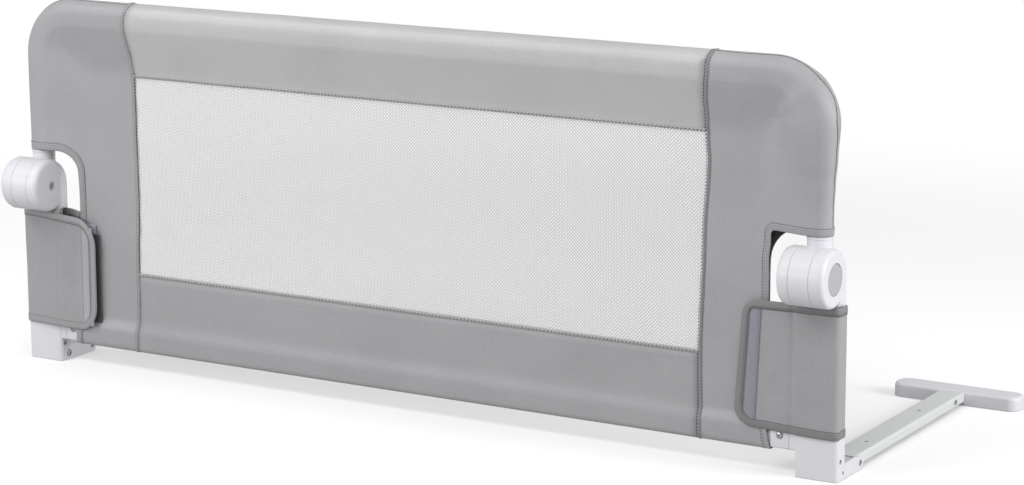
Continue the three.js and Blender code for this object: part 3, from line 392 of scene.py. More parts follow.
def sleeve_section(reach):
    """Points of distance from the tube's axis and depth: up the front, over the tube, down the back."""
    rings = (tail, 60, 54, 50, 46, 42, 37, 32, 27.3, 22, 18, straight_down, 12, 8, 4)
    steps = [reach, *(d for d in rings if d < reach)]
    front = [(d, -sleeve_half(d)) for d in steps]
    round_it = [(-sleeve * math.sin(a), -sleeve * math.cos(a))
                for a in (math.radians(10 * i) for i in range(19))]
    return [*front, *round_it, *((d, -y) for d, y in reversed(front))]


def bar_half(z):
    """Front and back of the cloth where it runs down over the lower bar, by height."""
    share = eased((58 - z) / 13)
    tuck = math.sqrt(max(1 - (max(29 - z, 0) / 5.5) ** 2, 0))
    half = (flat_half + (bar_sleeve - flat_half) * share) * (0.62 + 0.38 * tuck)
    return bar_off * share - half, bar_off * share + half


def slackness(x, y, z):
    """Shallow folds over the whole cloth and puckers along the side seams, in millimetres."""
    away = min(abs(abs(x) - seam_at), 40) / 40
    side = 1 if y > 0 else 0
    folds = noise.noise(Vector((x / 70, z / 95, side * 0.7))) * 1.0
    folds += noise.noise(Vector((x / 26, z / 40, 5.3 + side))) * 0.3
    pucker = noise.noise(Vector((z / 9, x / 200, 1.3 + side))) * 0.9 * math.exp(-9 * away)
    return folds * (0.25 + 0.75 * away) + pucker


def drape(bm):
    """Gives cloth that was laid out straight its fullness round the tube, its slackness and its seams."""
    for v in bm.verts:
        x, y, z = abs(v.co.x), v.co.y, v.co.z
        side = 1 if v.co.x > 0 else -1
        if x > bend_x and z > hem_z - notch_round:
            turned = bend * math.radians(90)
            angle = math.atan2(x - bend_x, z - bend_z) if z > bend_z else math.radians(90)
            down = bend * angle + max(bend_z - z, 0)
            full = between(sleeve_fullness[side], min(down / (turned + bend_z - hem_z), 1))
            axis = Vector((bend_x + bend * math.sin(angle), 0, bend_z + bend * math.cos(angle)))
            if z <= bend_z:
                axis.z = z
            from_axis = Vector((x, y, z)) - axis
            inwards = -(from_axis.x * math.sin(angle) + from_axis.z * math.cos(angle))
            moved = axis + from_axis * (1 + full * eased((46 - inwards) / 30))
            x, y, z = moved
        free = eased((z - 50) / 40) * eased((15.5 - abs(y)) / 6)  # not where it lies on a tube or bar
        y += slackness(side * x, y, z) * free * (1 if y > 0 else -1)
        share = (x - 250) / (seam_at - 250) if x <= seam_at else (notch_at - x) / (notch_at - seam_at)
        x += (between(seam_shape[side], z) - seam_at) * eased(share)
        x += between(notch_shift[side], z) * eased((x - seam_at) / 60) * eased((hem_z + 5 - z) / 20)
        y += 1.1 * eased((x - 424) / 8) * eased((62 - z) / 8) * (1 if y > bar_off else -1)
        v.co = (side * x, y, z)


def finish_mesh(name, bm, materials, smooth=True):
    """Millimetres about the rail's plane become metres in the frame, and the mesh becomes a piece."""
    bmesh.ops.scale(bm, vec=(MM, MM, MM), verts=bm.verts)
    bmesh.ops.translate(bm, vec=(0, rail_y, 0), verts=bm.verts)
    for face in bm.faces:
        face.smooth = smooth
    mesh = bpy.data.meshes.new(name)
    bm.to_mesh(mesh)
    bm.free()
    for material in materials:
        mesh.materials.append(material)
    made = bpy.data.objects.new(name, mesh)
    bpy.context.scene.collection.objects.link(made)
    return made


def thicken(piece, thickness, offset=-1):
    wall = piece.modifiers.new("thickness", "SOLIDIFY")
    wall.thickness, wall.offset, wall.use_even_offset = thickness * MM, offset, True


def bend_at_hubs(piece):
    """Bakes the piece's placement into its mesh; the piece is not split at the hubs or fixed to a body."""
    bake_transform(piece)


weave, given, out = group(
    "woven_cloth",
    [("Color", "NodeSocketColor", (0.36, 0.36, 0.37, 1)), ("Thread", "NodeSocketFloat", 0.55),
     ("Depth", "NodeSocketFloat", 0.25), ("Roughness", "NodeSocketFloat", 0.6)],
    [("Color", "NodeSocketColor"), ("Roughness", "NodeSocketFloat"), ("Normal", "NodeSocketVector")])
place = wire(weave, "ShaderNodeTexCoord").outputs["Object"]
parts = wire(weave, "ShaderNodeSeparateXYZ", {0: place}).outputs
turns = math_node(weave, "DIVIDE", 2 * math.pi * 1000, given["Thread"])
across = math_node(weave, "ADD", parts[0], parts[1])
upwards = math_node(weave, "SUBTRACT", parts[2], parts[1])
warp = math_node(weave, "SINE", math_node(weave, "MULTIPLY", across, turns))
weft = math_node(weave, "SINE", math_node(weave, "MULTIPLY", upwards, turns))
over = math_node(weave, "MULTIPLY", warp, weft)
crease = wire(weave, "ShaderNodeTexNoise", {"Vector": place, "Scale": 26.0, "Detail": 5.0, "Roughness": 0.6})
fibre = wire(weave, "ShaderNodeTexNoise", {"Vector": place, "Scale": 850.0, "Detail": 2.0})
dye = wire(weave, "ShaderNodeTexNoise", {"Vector": place, "Scale": 9.0, "Detail": 6.0, "Roughness": 0.55})
shade = wire(weave, "ShaderNodeMapRange", {0: dye.outputs[0], 1: 0.25, 2: 0.75, 3: 0.94, 4: 1.06}).outputs[0]
speck = wire(weave, "ShaderNodeMapRange", {0: fibre.outputs[0], 1: 0.3, 2: 0.7, 3: 0.93, 4: 1.07}).outputs[0]
shade = math_node(weave, "MULTIPLY", shade, speck)
tint = wire(weave, "ShaderNodeVectorMath", {0: given["Color"], "Scale": shade}, operation="SCALE")
weave.links.new(tint.outputs[0], out["Color"])
dull = wire(weave, "ShaderNodeMapRange", {0: crease.outputs[0], 1: 0.3, 2: 0.7, 3: -0.06, 4: 0.06}).outputs[0]
weave.links.new(math_node(weave, "ADD", given["Roughness"], dull), out["Roughness"])
slack = wire(weave, "ShaderNodeBump", {"Strength": 0.35, "Distance": 0.0016, "Height": crease.outputs[0]})
threads = wire(weave, "ShaderNodeBump", {"Strength": given["Depth"], "Distance": 0.00008, "Height": over,
                                         "Normal": slack.outputs[0]})
weave.links.new(threads.outputs[0], out["Normal"])


def cloth_material(name, colour, roughness=0.58, thread=0.55, depth=0.3, sheen_weight=0.12, gloss=0.45):
    material, tree = blank_material(name)
    look = wire(tree, "ShaderNodeGroup", node_tree=weave)
    for label, value in (("Color", (*colour, 1)), ("Thread", thread), ("Depth", depth),
                         ("Roughness", roughness)):
        look.inputs[label].default_value = value
    shader = wire(tree, "ShaderNodeBsdfPrincipled", {
        "Base Color": look.outputs["Color"], "Roughness": look.outputs["Roughness"],
        "Normal": look.outputs["Normal"], "Sheen Weight": sheen_weight, "Sheen Roughness": 0.4,
        "Specular IOR Level": gloss})
    wire(tree, "ShaderNodeOutputMaterial", {"Surface": shader.outputs[0]})
    return material


# The upper band's cloth is lighter than the lower band's: partly its own tone, partly a painted highlight for
# light from above.
band_cloth_and_painted_light = cloth_material("band_cloth_and_painted_light", (0.44, 0.43, 0.437), 0.36, gloss=0.9)
base_cloth = cloth_material("base_cloth", (0.335, 0.335, 0.345), 0.66, 0.7, 0.45)


def swept_band(section):
    """A section of depths and heights drawn along the rail from seam to seam."""
    bm = bmesh.new()
    chain = [bm.verts.new((-seam_at, y, z)) for y, z in section]
    lines = [bm.edges.new(pair) for pair in zip(chain, chain[1:])]
    bmesh.ops.spin(bm, geom=[*chain, *lines], cent=(0, 0, 0), axis=(1, 0, 0), angle=0, steps=band_steps,
                   dvec=(2 * seam_at / band_steps, 0, 0), use_duplicate=False)
    bmesh.ops.recalc_face_normals(bm, faces=bm.faces)
    drape(bm)
    return bm


top_section = [(y, tube_z - d) for d, y in sleeve_section(tube_z - net_high)]
top_band = finish_mesh("cover_sleeve", swept_band(top_section), [band_cloth_and_painted_light])
thicken(top_band, cloth_thick)
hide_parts("cover_top_band")
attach(top_band, "panel")

base_heights = [net_low, 104, 94, 84, 74, 66, 58, 54, 50, 46, 42, 37, 33, 30, 28, 26, hem_low]
base_section = [(bar_half(z)[0], z) for z in base_heights]
base_section += [(bar_half(z)[1], z) for z in reversed(base_heights)]
bottom_band = finish_mesh("cover_base_band", swept_band(base_section), [base_cloth])
thicken(bottom_band, cloth_thick)
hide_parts("cover_bottom_band")
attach(bottom_band, "frame")

# Window net: warp-knitted polyester. Two families of flat strands cross at a slant with small square
# gaps between them, and the edges are caught in the seams all round.
net_white = eased_material("net_white", (0.66, 0.66, 0.67), (0.6, 0.6, 0.6), 0.7, 0.4, 0.0)
strand_wide, strand_pitch, strand_thick = 1.15, 2.6, 0.28
half_wide, middle_z = seam_at + 8, (net_low + net_high) / 2
bm = bmesh.new()
count = int((2 * half_wide + net_high - net_low) / (strand_pitch * math.sqrt(2)) / 2) + 2
for lean in (1, -1):
    first = bmesh.ops.create_grid(bm, x_segments=1, y_segments=1, size=0.5)["verts"]
    bmesh.ops.scale(bm, vec=(strand_wide, (net_high - net_low) * 1.6, 1), verts=first)
    bmesh.ops.rotate(bm, cent=(0, 0, 0), matrix=Matrix.Rotation(math.radians(90), 3, "X"), verts=first)
    bmesh.ops.rotate(bm, cent=(0, 0, 0), matrix=Matrix.Rotation(math.radians(45 * lean), 3, "Y"), verts=first)
    bmesh.ops.translate(bm, vec=(0, 0.16 * lean, middle_z), verts=first)
    ribbon = [f for f in bm.faces if all(v in first for v in f.verts)]
    for i in (i for i in range(-count, count + 1) if i):
        copy = bmesh.ops.duplicate(bm, geom=ribbon)["geom"]
        moved = [g for g in copy if isinstance(g, bmesh.types.BMVert)]
        bmesh.ops.translate(bm, vec=(i * strand_pitch * math.sqrt(2), 0, 0), verts=moved)
for place_on, towards in (((half_wide, 0, 0), (1, 0, 0)), ((-half_wide, 0, 0), (-1, 0, 0)),
                          ((0, 0, net_high + 2), (0, 0, 1)), ((0, 0, net_low - 2), (0, 0, -1))):
    bmesh.ops.bisect_plane(bm, geom=[*bm.verts, *bm.edges, *bm.faces], dist=1e-4, plane_co=place_on,
                           plane_no=towards, clear_outer=True)
for z in (130, 150, 165, *range(177, 240, 6), 250, 270, 300, 320):
    bmesh.ops.bisect_plane(bm, geom=[*bm.verts, *bm.edges, *bm.faces], dist=1e-4, plane_co=(0, 0, z),
                           plane_no=(0, 0, 1))
net = finish_mesh("window_net", bm, [net_white], smooth=False)
thicken(net, strand_thick, 0)
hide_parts("net_upper", "net_lower")
bend_at_hubs(net)

# End pockets: one piece of cloth at each end, double, open at a rounded notch round the hub. The upper
# part is a sleeve over the corner of the tube, and the lower part covers the end of the lower bar.
side_cloth = cloth_material("side_cloth", (0.335, 0.33, 0.345), 0.42, gloss=0.6)
# The insides of the pockets and flaps are near black: painted shade for the dark inside them, not the cloth's
# own colour.
painted_shade_lining = cloth_material("painted_shade_lining", (0.035, 0.035, 0.04), 0.8)
front_notch_round = {1: 5.3, -1: notch_round}


def pocket_half(x, z):
    """Front and back depth of an end pocket's cloth at a place on it, for the side at +X."""
    if z < 60:
        return bar_half(z)
    if x >= bend_x and z >= bend_z:
        inwards = bend - math.hypot(x - bend_x, z - bend_z)
    elif z >= bend_z:
        inwards = tube_z - z
    elif x >= bend_x:
        inwards = upright_x - x
    else:
        below, beside = bend_z - z, bend_x - x
        inwards = bend + below * beside / max(math.hypot(below, beside), 0.001)
    half = sleeve_half(inwards)
    half += (flat_half - half) * eased((hem_z - z) / 50) * eased((notch_at + 26 - x) / 22)
    return -half, half


def mirror_to(bm, side):
    if side < 0:
        bmesh.ops.scale(bm, vec=(-1, 1, 1), verts=bm.verts)
        bmesh.ops.reverse_faces(bm, faces=bm.faces)


def slice_flat(bm, cuts):
    for place_on, towards in cuts:
        bmesh.ops.bisect_plane(bm, geom=[*bm.verts, *bm.edges, *bm.faces], dist=1e-3,
                               plane_co=place_on, plane_no=towards)


def end_pocket(side):
    """The sleeve is swept round the corner, and the flat front and back are cut out and joined to it."""
    bm = bmesh.new()
    section = sleeve_section(bend)
    chain = [bm.verts.new((upright_x - d, y, bend_z)) for d, y in section]
    lines = [bm.edges.new(pair) for pair in zip(chain, chain[1:])]
    corner = bmesh.ops.spin(bm, geom=[*chain, *lines], cent=(bend_x, 0, bend_z), axis=(0, -1, 0),
                            angle=math.radians(90), steps=corner_steps, use_duplicate=False)
    bmesh.ops.spin(bm, geom=corner["geom_last"], cent=(0, 0, 0), axis=(1, 0, 0), angle=0, steps=pocket_steps,
                   dvec=((seam_at - bend_x) / pocket_steps, 0, 0), use_duplicate=False)
    bmesh.ops.spin(bm, geom=[*chain, *lines], cent=(0, 0, 0), axis=(1, 0, 0), angle=0, steps=corner_steps,
                   dvec=(0, 0, (hem_z - bend_z) / corner_steps), use_duplicate=False)
    heights = [*range(26, 60, 3), *range(64, 176, 8), *range(177, 240, 5)]
    heights += [hem_z + (bend_z - hem_z) * i / corner_steps for i in range(corner_steps)]
    widths = [seam_at + (bend_x - seam_at) * i / pocket_steps for i in range(1, pocket_steps + 1)]
    depths = [d for d, y in section if y < 0 and 27 <= d < bend]
    for face_side in (0, 1):
        turn = notch_round if face_side else front_notch_round[side]
        outline = [(seam_at, hem_low), (notch_at, hem_low)]
        outline += [(notch_at + turn - turn * math.cos(a), hem_z - turn + turn * math.sin(a))
                    for a in (math.radians(10 * i) for i in range(10))]
        outline += [(upright_x - d, hem_z) for d in reversed(depths) if upright_x - d < notch_at + turn - 0.1]
        outline += [(bend_x, hem_z), (bend_x, bend_z), (seam_at, bend_z)]
        part = bmesh.new()
        part.faces.new([part.verts.new((x, 0, z)) for x, z in outline])
        slice_flat(part, [((0, 0, z), (0, 0, 1)) for z in heights])
        slice_flat(part, [((x, 0, 0), (1, 0, 0)) for x in (*widths, *(upright_x - d for d in depths))])
        for v in part.verts:
            v.co.y = pocket_half(v.co.x, v.co.z)[face_side]
        holder = bpy.data.meshes.new("pocket_part")
        part.to_mesh(holder)
        part.free()
        bm.from_mesh(holder)
        bpy.data.meshes.remove(holder)
    bmesh.ops.remove_doubles(bm, verts=bm.verts, dist=0.05)
    hem_edges = [e for e in bm.edges if all(abs(v.co.z - hem_low) < 0.01 for v in e.verts)]
    bmesh.ops.bridge_loops(bm, edges=hem_edges)
    bmesh.ops.recalc_face_normals(bm, faces=bm.faces)
    mirror_to(bm, side)
    drape(bm)
    return bm


for side, name in ((1, "right"), (-1, "left")):
    pocket = finish_mesh(f"{name}_cover_end", end_pocket(side), [side_cloth, painted_shade_lining])
    thicken(pocket, cloth_thick)
    # The pocket's inner face gets the near-black painted shade lining.
    pocket.modifiers["thickness"].material_offset = 1
    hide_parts(f"{name}_cover_side_upper", f"{name}_cover_side_lower")
    bend_at_hubs(pocket)

# Side seams: where the end pockets meet the bands the cloth is folded into a narrow raised welt, stitched
# down along the middle part with dark thread.
thread = cloth_material("dark_thread", (0.05, 0.05, 0.055), 0.8, 0.3, 0.5)
# The right welt is darker than the left one: painted shade along the right seam. The left welt has the
# cloth's own tone.
welt_cloth = {1: cloth_material("right_welt_painted_shade", (0.23, 0.23, 0.245), 0.6, 0.9, 0.7),
              -1: cloth_material("left_welt_cloth", (0.315, 0.315, 0.33), 0.5)}


def loft(bm, rows):
    """A cloth strip through rows of points that run across it."""
    wide = len(rows[0])
    grid = bmesh.ops.create_grid(bm, x_segments=wide - 1, y_segments=len(rows) - 1, size=1)["verts"]
    for index, v in enumerate(grid):
        v.co = rows[index // wide][index % wide]


def stitch_row(bm, points, pitch=3.1, long=2.2, thick=0.5, slant=None):
    """Stitches laid along a line of points. A slant is the direction that each one leans towards."""
    line = [Vector(p) for p in points]
    left, places = pitch / 2, []
    for start, end in zip(line, line[1:]):
        length = (end - start).length
        while left < length:
            along = (end - start).normalized()
            towards = (along + Vector(slant)).normalized() if slant else along
            turn = towards.to_track_quat("X", "Z").to_matrix().to_4x4()
            shape = Matrix.Diagonal((long, thick, thick, 1))
            places.append(Matrix.Translation(start + along * left) @ turn @ shape)
            left += pitch
        left -= length
    for first in range(0, len(places), 40):
        few = bmesh.new()
        for place_at in places[first:first + 40]:
            bmesh.ops.create_uvsphere(few, u_segments=5, v_segments=3, radius=0.5, matrix=place_at)
        holder = bpy.data.meshes.new("stitches")
        few.to_mesh(holder)
        few.free()
        bm.from_mesh(holder)
        bpy.data.meshes.remove(holder)


def sewn_on(name, bm, material, side=1, body=None, draped=True):
    """A sewn detail drawn for the side at +X and put on its side; given a body it is fixed to it, else only
    baked.
    """
    mirror_to(bm, side)
    if draped:
        drape(bm)
    made = finish_mesh(name, bm, [material])
    if body:
        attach(made, body)
    else:
        bend_at_hubs(made)


def round_the_cover():
    """Depth, height and outward direction round the cover beside a side seam, from front to back."""
    front = [(bar_half(z)[0], z) for z in (24, 26, 29, 33, 38, 43, 48, 53, 58)]
    front += [(-flat_half, z) for z in range(64, 354, 4)]
    over = [(y, tube_z - d) for d, y in sleeve_section(tail + 4)]
    back = [(flat_half, z) for z in range(352, 60, -4)]
    back += [(bar_half(z)[1], z) for z in (58, 53, 48, 43, 38, 33, 29, 26, 24)]
    line = [Vector(p) for p in (*front, *over, *back)]
    turned = []
    for i, here in enumerate(line):
        along = (line[min(i + 1, len(line) - 1)] - line[max(i - 1, 0)]).normalized()
        turned.append((here.x, here.y, -along.y, along.x))
    return turned


for side, name in ((1, "right"), (-1, "left")):
    bm = bmesh.new()
    profile = ((-0.2, -0.4), (0.6, 0.5), (2.0, 1.0), (3.4, 0.7), (4.8, -0.3))
    loft(bm, [[(seam_at + out_by, y + ny * up, z + nz * up) for out_by, up in profile]
              for y, z, ny, nz in round_the_cover()])
    sewn_on(f"{name}_side_seam_welt", bm, welt_cloth[side], side)
    bm = bmesh.new()
    stitch_row(bm, [(seam_at - 0.9, y + ny * 0.15, z + nz * 0.15) for y, z, ny, nz in round_the_cover()],
               pitch=3.4, long=2.6, thick=1.0, slant=(0.5, 0, 0))
    stitch_row(bm, [(seam_at + 2.6, y + ny * 0.9, z + nz * 0.9) for y, z, ny, nz in round_the_cover()],
               pitch=3.7, long=2.0, thick=0.55, slant=(-0.9, 0, 0))
    sewn_on(f"{name}_side_seam_stitches", bm, thread, side)

# Window seams: the net's upper and lower edges are sewn to the bands with an overlock seam, a narrow
# raised strip of slanting dark threads.
overlock = cloth_material("overlock_threads", (0.38, 0.38, 0.385), 0.75, 0.9, 0.8)
for name, height, body in (("upper", net_high, "panel"), ("lower", net_low, "frame")):
    bm = bmesh.new()
    stations = [-seam_at + 2 * seam_at * i / band_steps for i in range(band_steps + 1)]
    away = 1 if name == "upper" else -1
    profile = ((-0.4, -0.1), (0.1, 0.6), (1.3, 0.75), (2.6, 0.6), (3.0, -0.3))
    for front in (-1, 1):
        loft(bm, [[(x, front * (flat_half + up), height + away * out_by) for out_by, up in profile]
                  for x in stations])
    bmesh.ops.recalc_face_normals(bm, faces=bm.faces)
    sewn_on(f"{name}_window_seam", bm, overlock, body=body)
    bm = bmesh.new()
    for front in (-1, 1):
        line = [(x, front * (flat_half + 0.7), height + away * 1.2) for x in stations]
        stitch_row(bm, line, pitch=4.4, long=3.0, thick=0.95, slant=(0, 0, 0.9))
    sewn_on(f"{name}_window_stitches", bm, thread, body=body)

# Notch bindings: a folded tape sewn over the raw edge of each end pocket's notch. It runs from the bottom
# up the notch, round its corner and along the hem of the sleeve, round the tube and back down behind.
binding_cloth = cloth_material("binding_cloth", (0.31, 0.31, 0.32), 0.6, 0.8, 0.6)
tape_wide = {1: 7.3, -1: 8.4}


def notch_line(side):
    """Rows of place, inward direction, outward direction along the notch's edge, front then back."""
    rows = []
    for face_side in (0, 1):
        turn = notch_round if face_side else front_notch_round[side]
        steps = (24.3, 27, 30, 34, 39, 44, 49, 54, 59, *range(65, int(hem_z - turn), 5))
        leg = [((notch_at, z), (-1, 0)) for z in steps]
        arc = [(notch_at + turn - turn * math.cos(a), hem_z - turn + turn * math.sin(a),
                -math.cos(a), math.sin(a)) for a in (math.radians(9 * i) for i in range(11))]
        leg += [((x, z), (ix, iz)) for x, z, ix, iz in arc]
        reach = notch_at + turn
        leg += [((reach + (456 - reach) * i / 4, hem_z), (0, 1)) for i in range(1, 4) if reach < 452]
        flat = [(edge, inwards, None) for edge, inwards in leg]
        rows.append(flat if not face_side else list(reversed(flat)))
    ring = [((upright_x - d, hem_z), (0, 1), y) for d, y in sleeve_section(27)]
    return rows[0], ring, rows[1]


def notch_tape(side, profile):
    front, ring, back = notch_line(side)
    rows = []
    for face_side, part in ((0, front), (None, ring), (1, back)):
        for (x, z), (ix, iz), y in part:
            row = []
            for inwards, up in profile:
                px, pz = x + ix * inwards, z + iz * inwards
                if face_side is None:
                    axis = Vector((upright_x, 0)) if abs(x - upright_x) < sleeve else Vector((x, 0))
                    away = (Vector((x, y)) - axis).normalized()
                    row.append((px + away.x * up, y + away.y * up, pz))
                else:
                    facing = 1 if face_side else -1
                    row.append((px, pocket_half(px, max(pz, 24.3))[face_side] + facing * up, pz))
            rows.append(row)
    return rows


for side, name in ((1, "right"), (-1, "left")):
    bm = bmesh.new()
    wide = tape_wide[side]
    folded = ((wide, -0.3), (wide - 0.2, 0.35), (4.6, 0.5), (0.5, 0.4), (-0.5, 0.0), (-0.1, -0.9))
    loft(bm, notch_tape(side, folded))
    sewn_on(f"{name}_notch_binding", bm, binding_cloth, side)
    bm = bmesh.new()
    for inwards, thick in ((wide - 0.2, 0.75), (wide - 2.6, 0.4)):
        stitch_row(bm, [row[0] for row in notch_tape(side, ((inwards, 0.45),))], thick=thick)
    sewn_on(f"{name}_notch_stitches", bm, thread, side)

# Sleeve seams: the front and back of each end pocket are joined along the outside of the tube. The seam
# makes a fine ridge with a dark strip of painted shade beside it, and runs straight between the notches
# cut into its corner.
seam_lean = {
    1: ((0, 10), (0.12, 17), (0.30, 13), (0.395, 6), (0.465, 15), (0.535, 0), (0.60, 12), (0.66, 3), (1, 1)),
    -1: ((0, 20), (0.36, 12), (0.66, 4), (1, 2))}


def crest(side, beside, up):
    """A line of points along the outside of the sleeve, a little in front of the seam and above it."""
    points = []
    top, turn, leg = bend_x - seam_at, bend * math.radians(90), bend_z - hem_z - tape_wide[side] - 1
    whole = top + turn + leg
    for i in range(91):
        along = whole * i / 90
        share = along / whole
        lean = math.radians(next(
            a + (b - a) * (share - low) / (high - low)
            for (low, a), (high, b) in zip(seam_lean[side], seam_lean[side][1:]) if share <= high))
        if along < top:
            axis, away = Vector((seam_at + along, 0, tube_z)), Vector((0, 0, 1))
        elif along < top + turn:
            angle = (along - top) / bend
            away = Vector((math.sin(angle), 0, math.cos(angle)))
            axis = Vector((bend_x, 0, bend_z)) + bend * away
        else:
            axis, away = Vector((upright_x, 0, bend_z - (along - top - turn))), Vector((1, 0, 0))
        lean += beside / sleeve
        points.append(axis + (away * math.cos(lean) - Vector((0, 1, 0)) * math.sin(lean)) * (sleeve + up))
    return points


# The line strip is painted shade beside the ridge, in the thread's dark colour.
ridge_and_shade_line = (("ridge", ((0.4, -0.3), (0, 0.55), (-1.4, 0.5), (-1.9, -0.3)), side_cloth),
                  ("line", ((0.75, -0.2), (0.6, 0.2), (0.1, 0.2), (0.0, -0.2)), thread))
for side, name in ((1, "right"), (-1, "left")):
    for label, profile, material in ridge_and_shade_line:
        bm = bmesh.new()
        loft(bm, list(zip(*(crest(side, beside, up) for beside, up in profile))))
        bmesh.ops.reverse_faces(bm, faces=bm.faces)
        sewn_on(f"{name}_sleeve_seam_{label}", bm, material, side, "panel")

# Flaps: a double piece of cloth at each end that goes round the post below the hub and is pressed on to
# the cover with hook and loop tape. Its edges are bound, and the tape's sewing shows as a paler strip.
flap_cloth = cloth_material("flap_cloth", (0.315, 0.315, 0.325), 0.66, 0.7, 0.45)
# The right strip is a darker copy of the left one: painted shade on the right flap.
strip_cloth = {1: cloth_material("right_strip_painted_shade", (0.27, 0.265, 0.31), 0.85, 0.9, 0.8, 0.3),
               -1: cloth_material("left_strip_cloth", (0.37, 0.36, 0.405), 0.85, 0.9, 0.8, 0.3)}
# The right binding is a darker copy of the left one: painted shade on the right flap.
flap_binding = {1: cloth_material("right_flap_binding", (0.205, 0.205, 0.21), 0.6, 0.8, 0.6),
                -1: cloth_material("left_flap_binding", (0.31, 0.31, 0.32), 0.6, 0.8, 0.6)}
flap_low, flap_high, flap_thick = 43.4, 176.0, 1.6
post_front, post_back, post_turn = -8.2, 12.1, 3.6   # the flap's depth before and behind the post, its bends
strip_from, strip_to, bound = 4, 22.5, 8.2           # the paler strip, and the width of the binding
flap_cut = {  # the right and the left one as they hang: sizes in millimetres
    1: {"out": 508.9, "corners": (14, 22), "ends": (5, -5), "drops": (2, -2), "off": 1.2,
        "creases": (431, -6.2), "bends": ((465, -8.2), (494, -8.9)), "behind": 5},
    -1: {"out": 509.4, "corners": (30, 30), "ends": (5.5, 6.5), "drops": (7, 2), "off": 4.2,
         "creases": (431, -7.4), "bends": ((459, -11.0), (462, -11.1)), "behind": 0},
}


def flap_path(side):
    """The flap's line seen from above, from its inner end in front, round the post and back behind."""
    out = flap_cut[side]["out"]
    line = [Vector(p) for p in ((401, -6.2), flap_cut[side]["creases"], *flap_cut[side]["bends"])]
    corners = (((out - post_turn, post_front + post_turn), 0), ((out - post_turn, post_back - post_turn), 90))
    for middle, first in corners:
        for i in range(7):
            a = math.radians(first - 90 + 15 * i)
            line.append(Vector(middle) + post_turn * Vector((math.cos(a), math.sin(a))))
    return line + [Vector(p) for p in ((470, post_back), (455, 10.1), (434, 0.6))]


flap_lines = {side: flap_path(side) for side in (1, -1)}
flap_long = sum((b - a).length for a, b in zip(flap_lines[1], flap_lines[1][1:]))


def on_flap(side, s, z, up):
    """A point of a flap, by the distance along it from its inner end, the height, and how far out."""
    cut = flap_cut[side]
    height = min(max((z - flap_low) / (flap_high - flap_low), 0), 1)
    lean = cut["ends"][1] + (cut["ends"][0] - cut["ends"][1]) * height
    left = s + lean * max(1 - s / 60, 0)
    for start, end in zip(flap_lines[side], flap_lines[side][1:]):
        length = (end - start).length
        if left <= length or end is flap_lines[side][-1]:
            break
        left -= length
    along = (end - start) / length
    out_to = Vector((along.y, -along.x))
    middle = math.sin(math.pi * height)
    bulge = 1.1 * noise.noise(Vector((s / 24, z / 38, 2.2 + side))) * middle
    bulge += 0.4 * noise.noise(Vector((s / 9, z / 11, 7 + side))) - 1.0 * math.exp(-((s - 59) / 3.2) ** 2)
    if s < 60:
        held = eased(s / 8) * eased((s - 22) / 16)
    else:
        held = eased((flap_long - s) / 12) * (0.25 if s > 97 else 1)
    here = start + along * left + out_to * (up + bulge * held + cut["off"] * eased((34 - s) / 34))
    share = eased((96 - s) / 96)
    high, low = cut["drops"]
    behind = cut["behind"] * eased((s - 124) / 12) * height
    return Vector((here.x, here.y, z - behind - share * (high * height + low * (1 - height))))


def edge_cut(s, corner):
    """How much a rounded corner takes off the flap's height, by the distance from its inner end."""
    return corner - math.sqrt(max(corner ** 2 - max(corner - s, 0) ** 2, 0))


def flap_sheet(side):
    upper, lower = flap_cut[side]["corners"]
    rows = []
    for j in range(37):
        row = []
        for s in (flap_long * i / 110 for i in range(111)):
            bottom, top = flap_low + edge_cut(s, lower), flap_high - edge_cut(s, upper)
            row.append(on_flap(side, s, bottom + (top - bottom) * j / 36, 0))
        rows.append(row)
    return rows


def flap_tape(side, profile):
    """Rows across the binding, from the top edge's far end round the inner end to the bottom edge's."""
    upper, lower = flap_cut[side]["corners"]
    edge = [(flap_long - (flap_long - upper) * i / 90, flap_high, 0, -1) for i in range(91)]
    edge += [(upper - upper * math.sin(a), flap_high - upper + upper * math.cos(a), math.sin(a), -math.cos(a))
             for a in (math.radians(10 * i) for i in range(1, 9))]
    straight = flap_high - flap_low - upper - lower
    edge += [(0, flap_high - upper - straight * i / 20, 1, 0) for i in range(21)]
    edge += [(lower - lower * math.cos(a), flap_low + lower - lower * math.sin(a), math.cos(a), math.sin(a))
             for a in (math.radians(10 * i) for i in range(1, 9))]
    edge += [(lower + (flap_long - lower) * i / 90, flap_low, 0, 1) for i in range(91)]
    return [[on_flap(side, s + inwards_s * by, z + inwards_z * by, up) for by, up in profile]
            for s, z, inwards_s, inwards_z in edge]


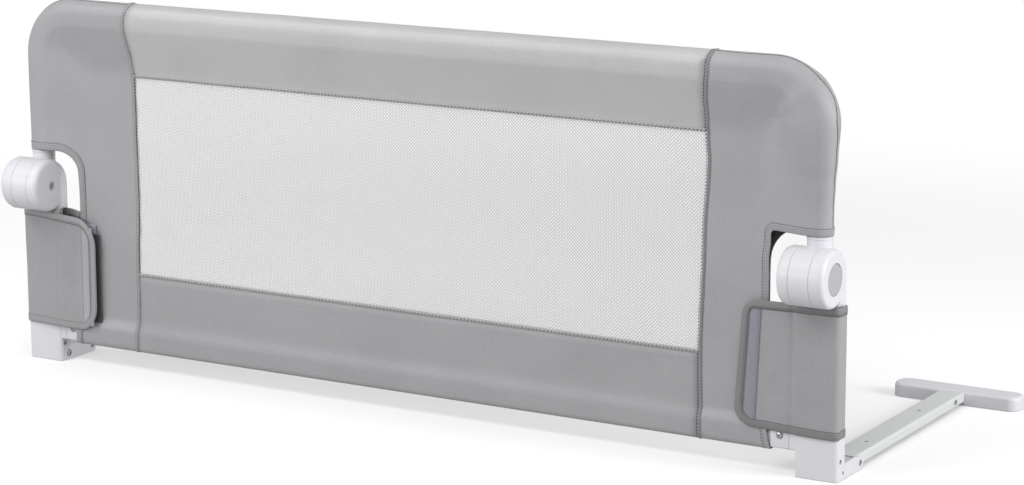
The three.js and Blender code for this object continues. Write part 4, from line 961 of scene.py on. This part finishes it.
for side, name in ((1, "right"), (-1, "left")):
    bm = bmesh.new()
    loft(bm, flap_sheet(side))
    mirror_to(bm, side)
    flap = finish_mesh(f"{name}_post_flap", bm, [flap_cloth, painted_shade_lining])
    thicken(flap, flap_thick, 0)
    # The flap's inner face gets the near-black painted shade lining.
    flap.modifiers["thickness"].material_offset = 1
    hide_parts(f"{name}_flap")
    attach(flap, "frame")
    bm = bmesh.new()
    loft(bm, flap_tape(side, ((bound, 0.5), (bound - 0.2, 1.25), (4.6, 1.45), (0.6, 1.3), (-0.7, 0.6),
                              (-0.7, -0.6), (0.6, -1.3), (4.6, -1.45), (bound - 0.2, -1.25), (bound, -0.5))))
    sewn_on(f"{name}_flap_binding", bm, flap_binding[side], side, "frame", draped=False)
    bm = bmesh.new()
    heights = [flap_low + 7 + (flap_high - flap_low - 14) * i / 30 for i in range(31)]
    across = ((strip_from, 0.4), (strip_from + 0.4, 1.15), (15, 1.25),
              (strip_to - 0.4, 1.15), (strip_to, 0.4))
    loft(bm, [[on_flap(side, s, z, up) for s, up in across] for z in heights])
    sewn_on(f"{name}_flap_strip", bm, strip_cloth[side], side, "frame", draped=False)
    bm = bmesh.new()
    for by, thick in ((bound - 0.3, 0.75), (bound - 2.6, 0.45)):
        stitch_row(bm, [row[0] for row in flap_tape(side, ((by, 1.4),))], thick=thick)
    for s in (bound + 0.9, strip_to - 0.9):
        stitch_row(bm, [on_flap(side, s, z, 1.25) for z in heights], thick=0.55)
    sewn_on(f"{name}_flap_stitches", bm, thread, side, "frame", draped=False)

# Hook and loop tapes: the hooks are sewn inside the flap and the lavender grey loops on the cover,
# each with a rough pile that faces the other tape. The hooks' near-black colour is painted shade, for the
# shadow beside the flap's inner edge.
pile = {"loops": cloth_material("loop_pile", (0.33, 0.32, 0.37), 0.95, 1.1, 1.0, 0.5),
        "hooks": cloth_material("hook_pile_painted_shade", (0.05, 0.05, 0.055), 0.8, 1.1, 1.0, 0.5)}
for side, name in ((1, "right"), (-1, "left")):
    for node, label in ((f"{name}_hook_tape", "hooks"), (f"{name}_loop_tape", "loops")):
        low, high = (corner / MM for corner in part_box(node))
        low.y, high.y = low.y - rail_y / MM, high.y - rail_y / MM
        if node == "left_loop_tape":
            high.x -= 5.5
        if node == "left_hook_tape":
            low.z, high.z = low.z - 4, high.z - 10
        bm = bmesh.new()
        bmesh.ops.create_grid(bm, x_segments=10, y_segments=50, size=0.5)
        size = high - low
        for v in bm.verts:
            u, w = v.co.x + 0.5, v.co.y + 0.5
            v.co = (low.x + u * size.x, (low.y + high.y) / 2, low.z + w * size.z)
        tape = finish_mesh(f"{name}_{label}", bm, [pile[label]])
        thicken(tape, size.y * 0.9, 0)
        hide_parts(node)
        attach(tape, "frame")
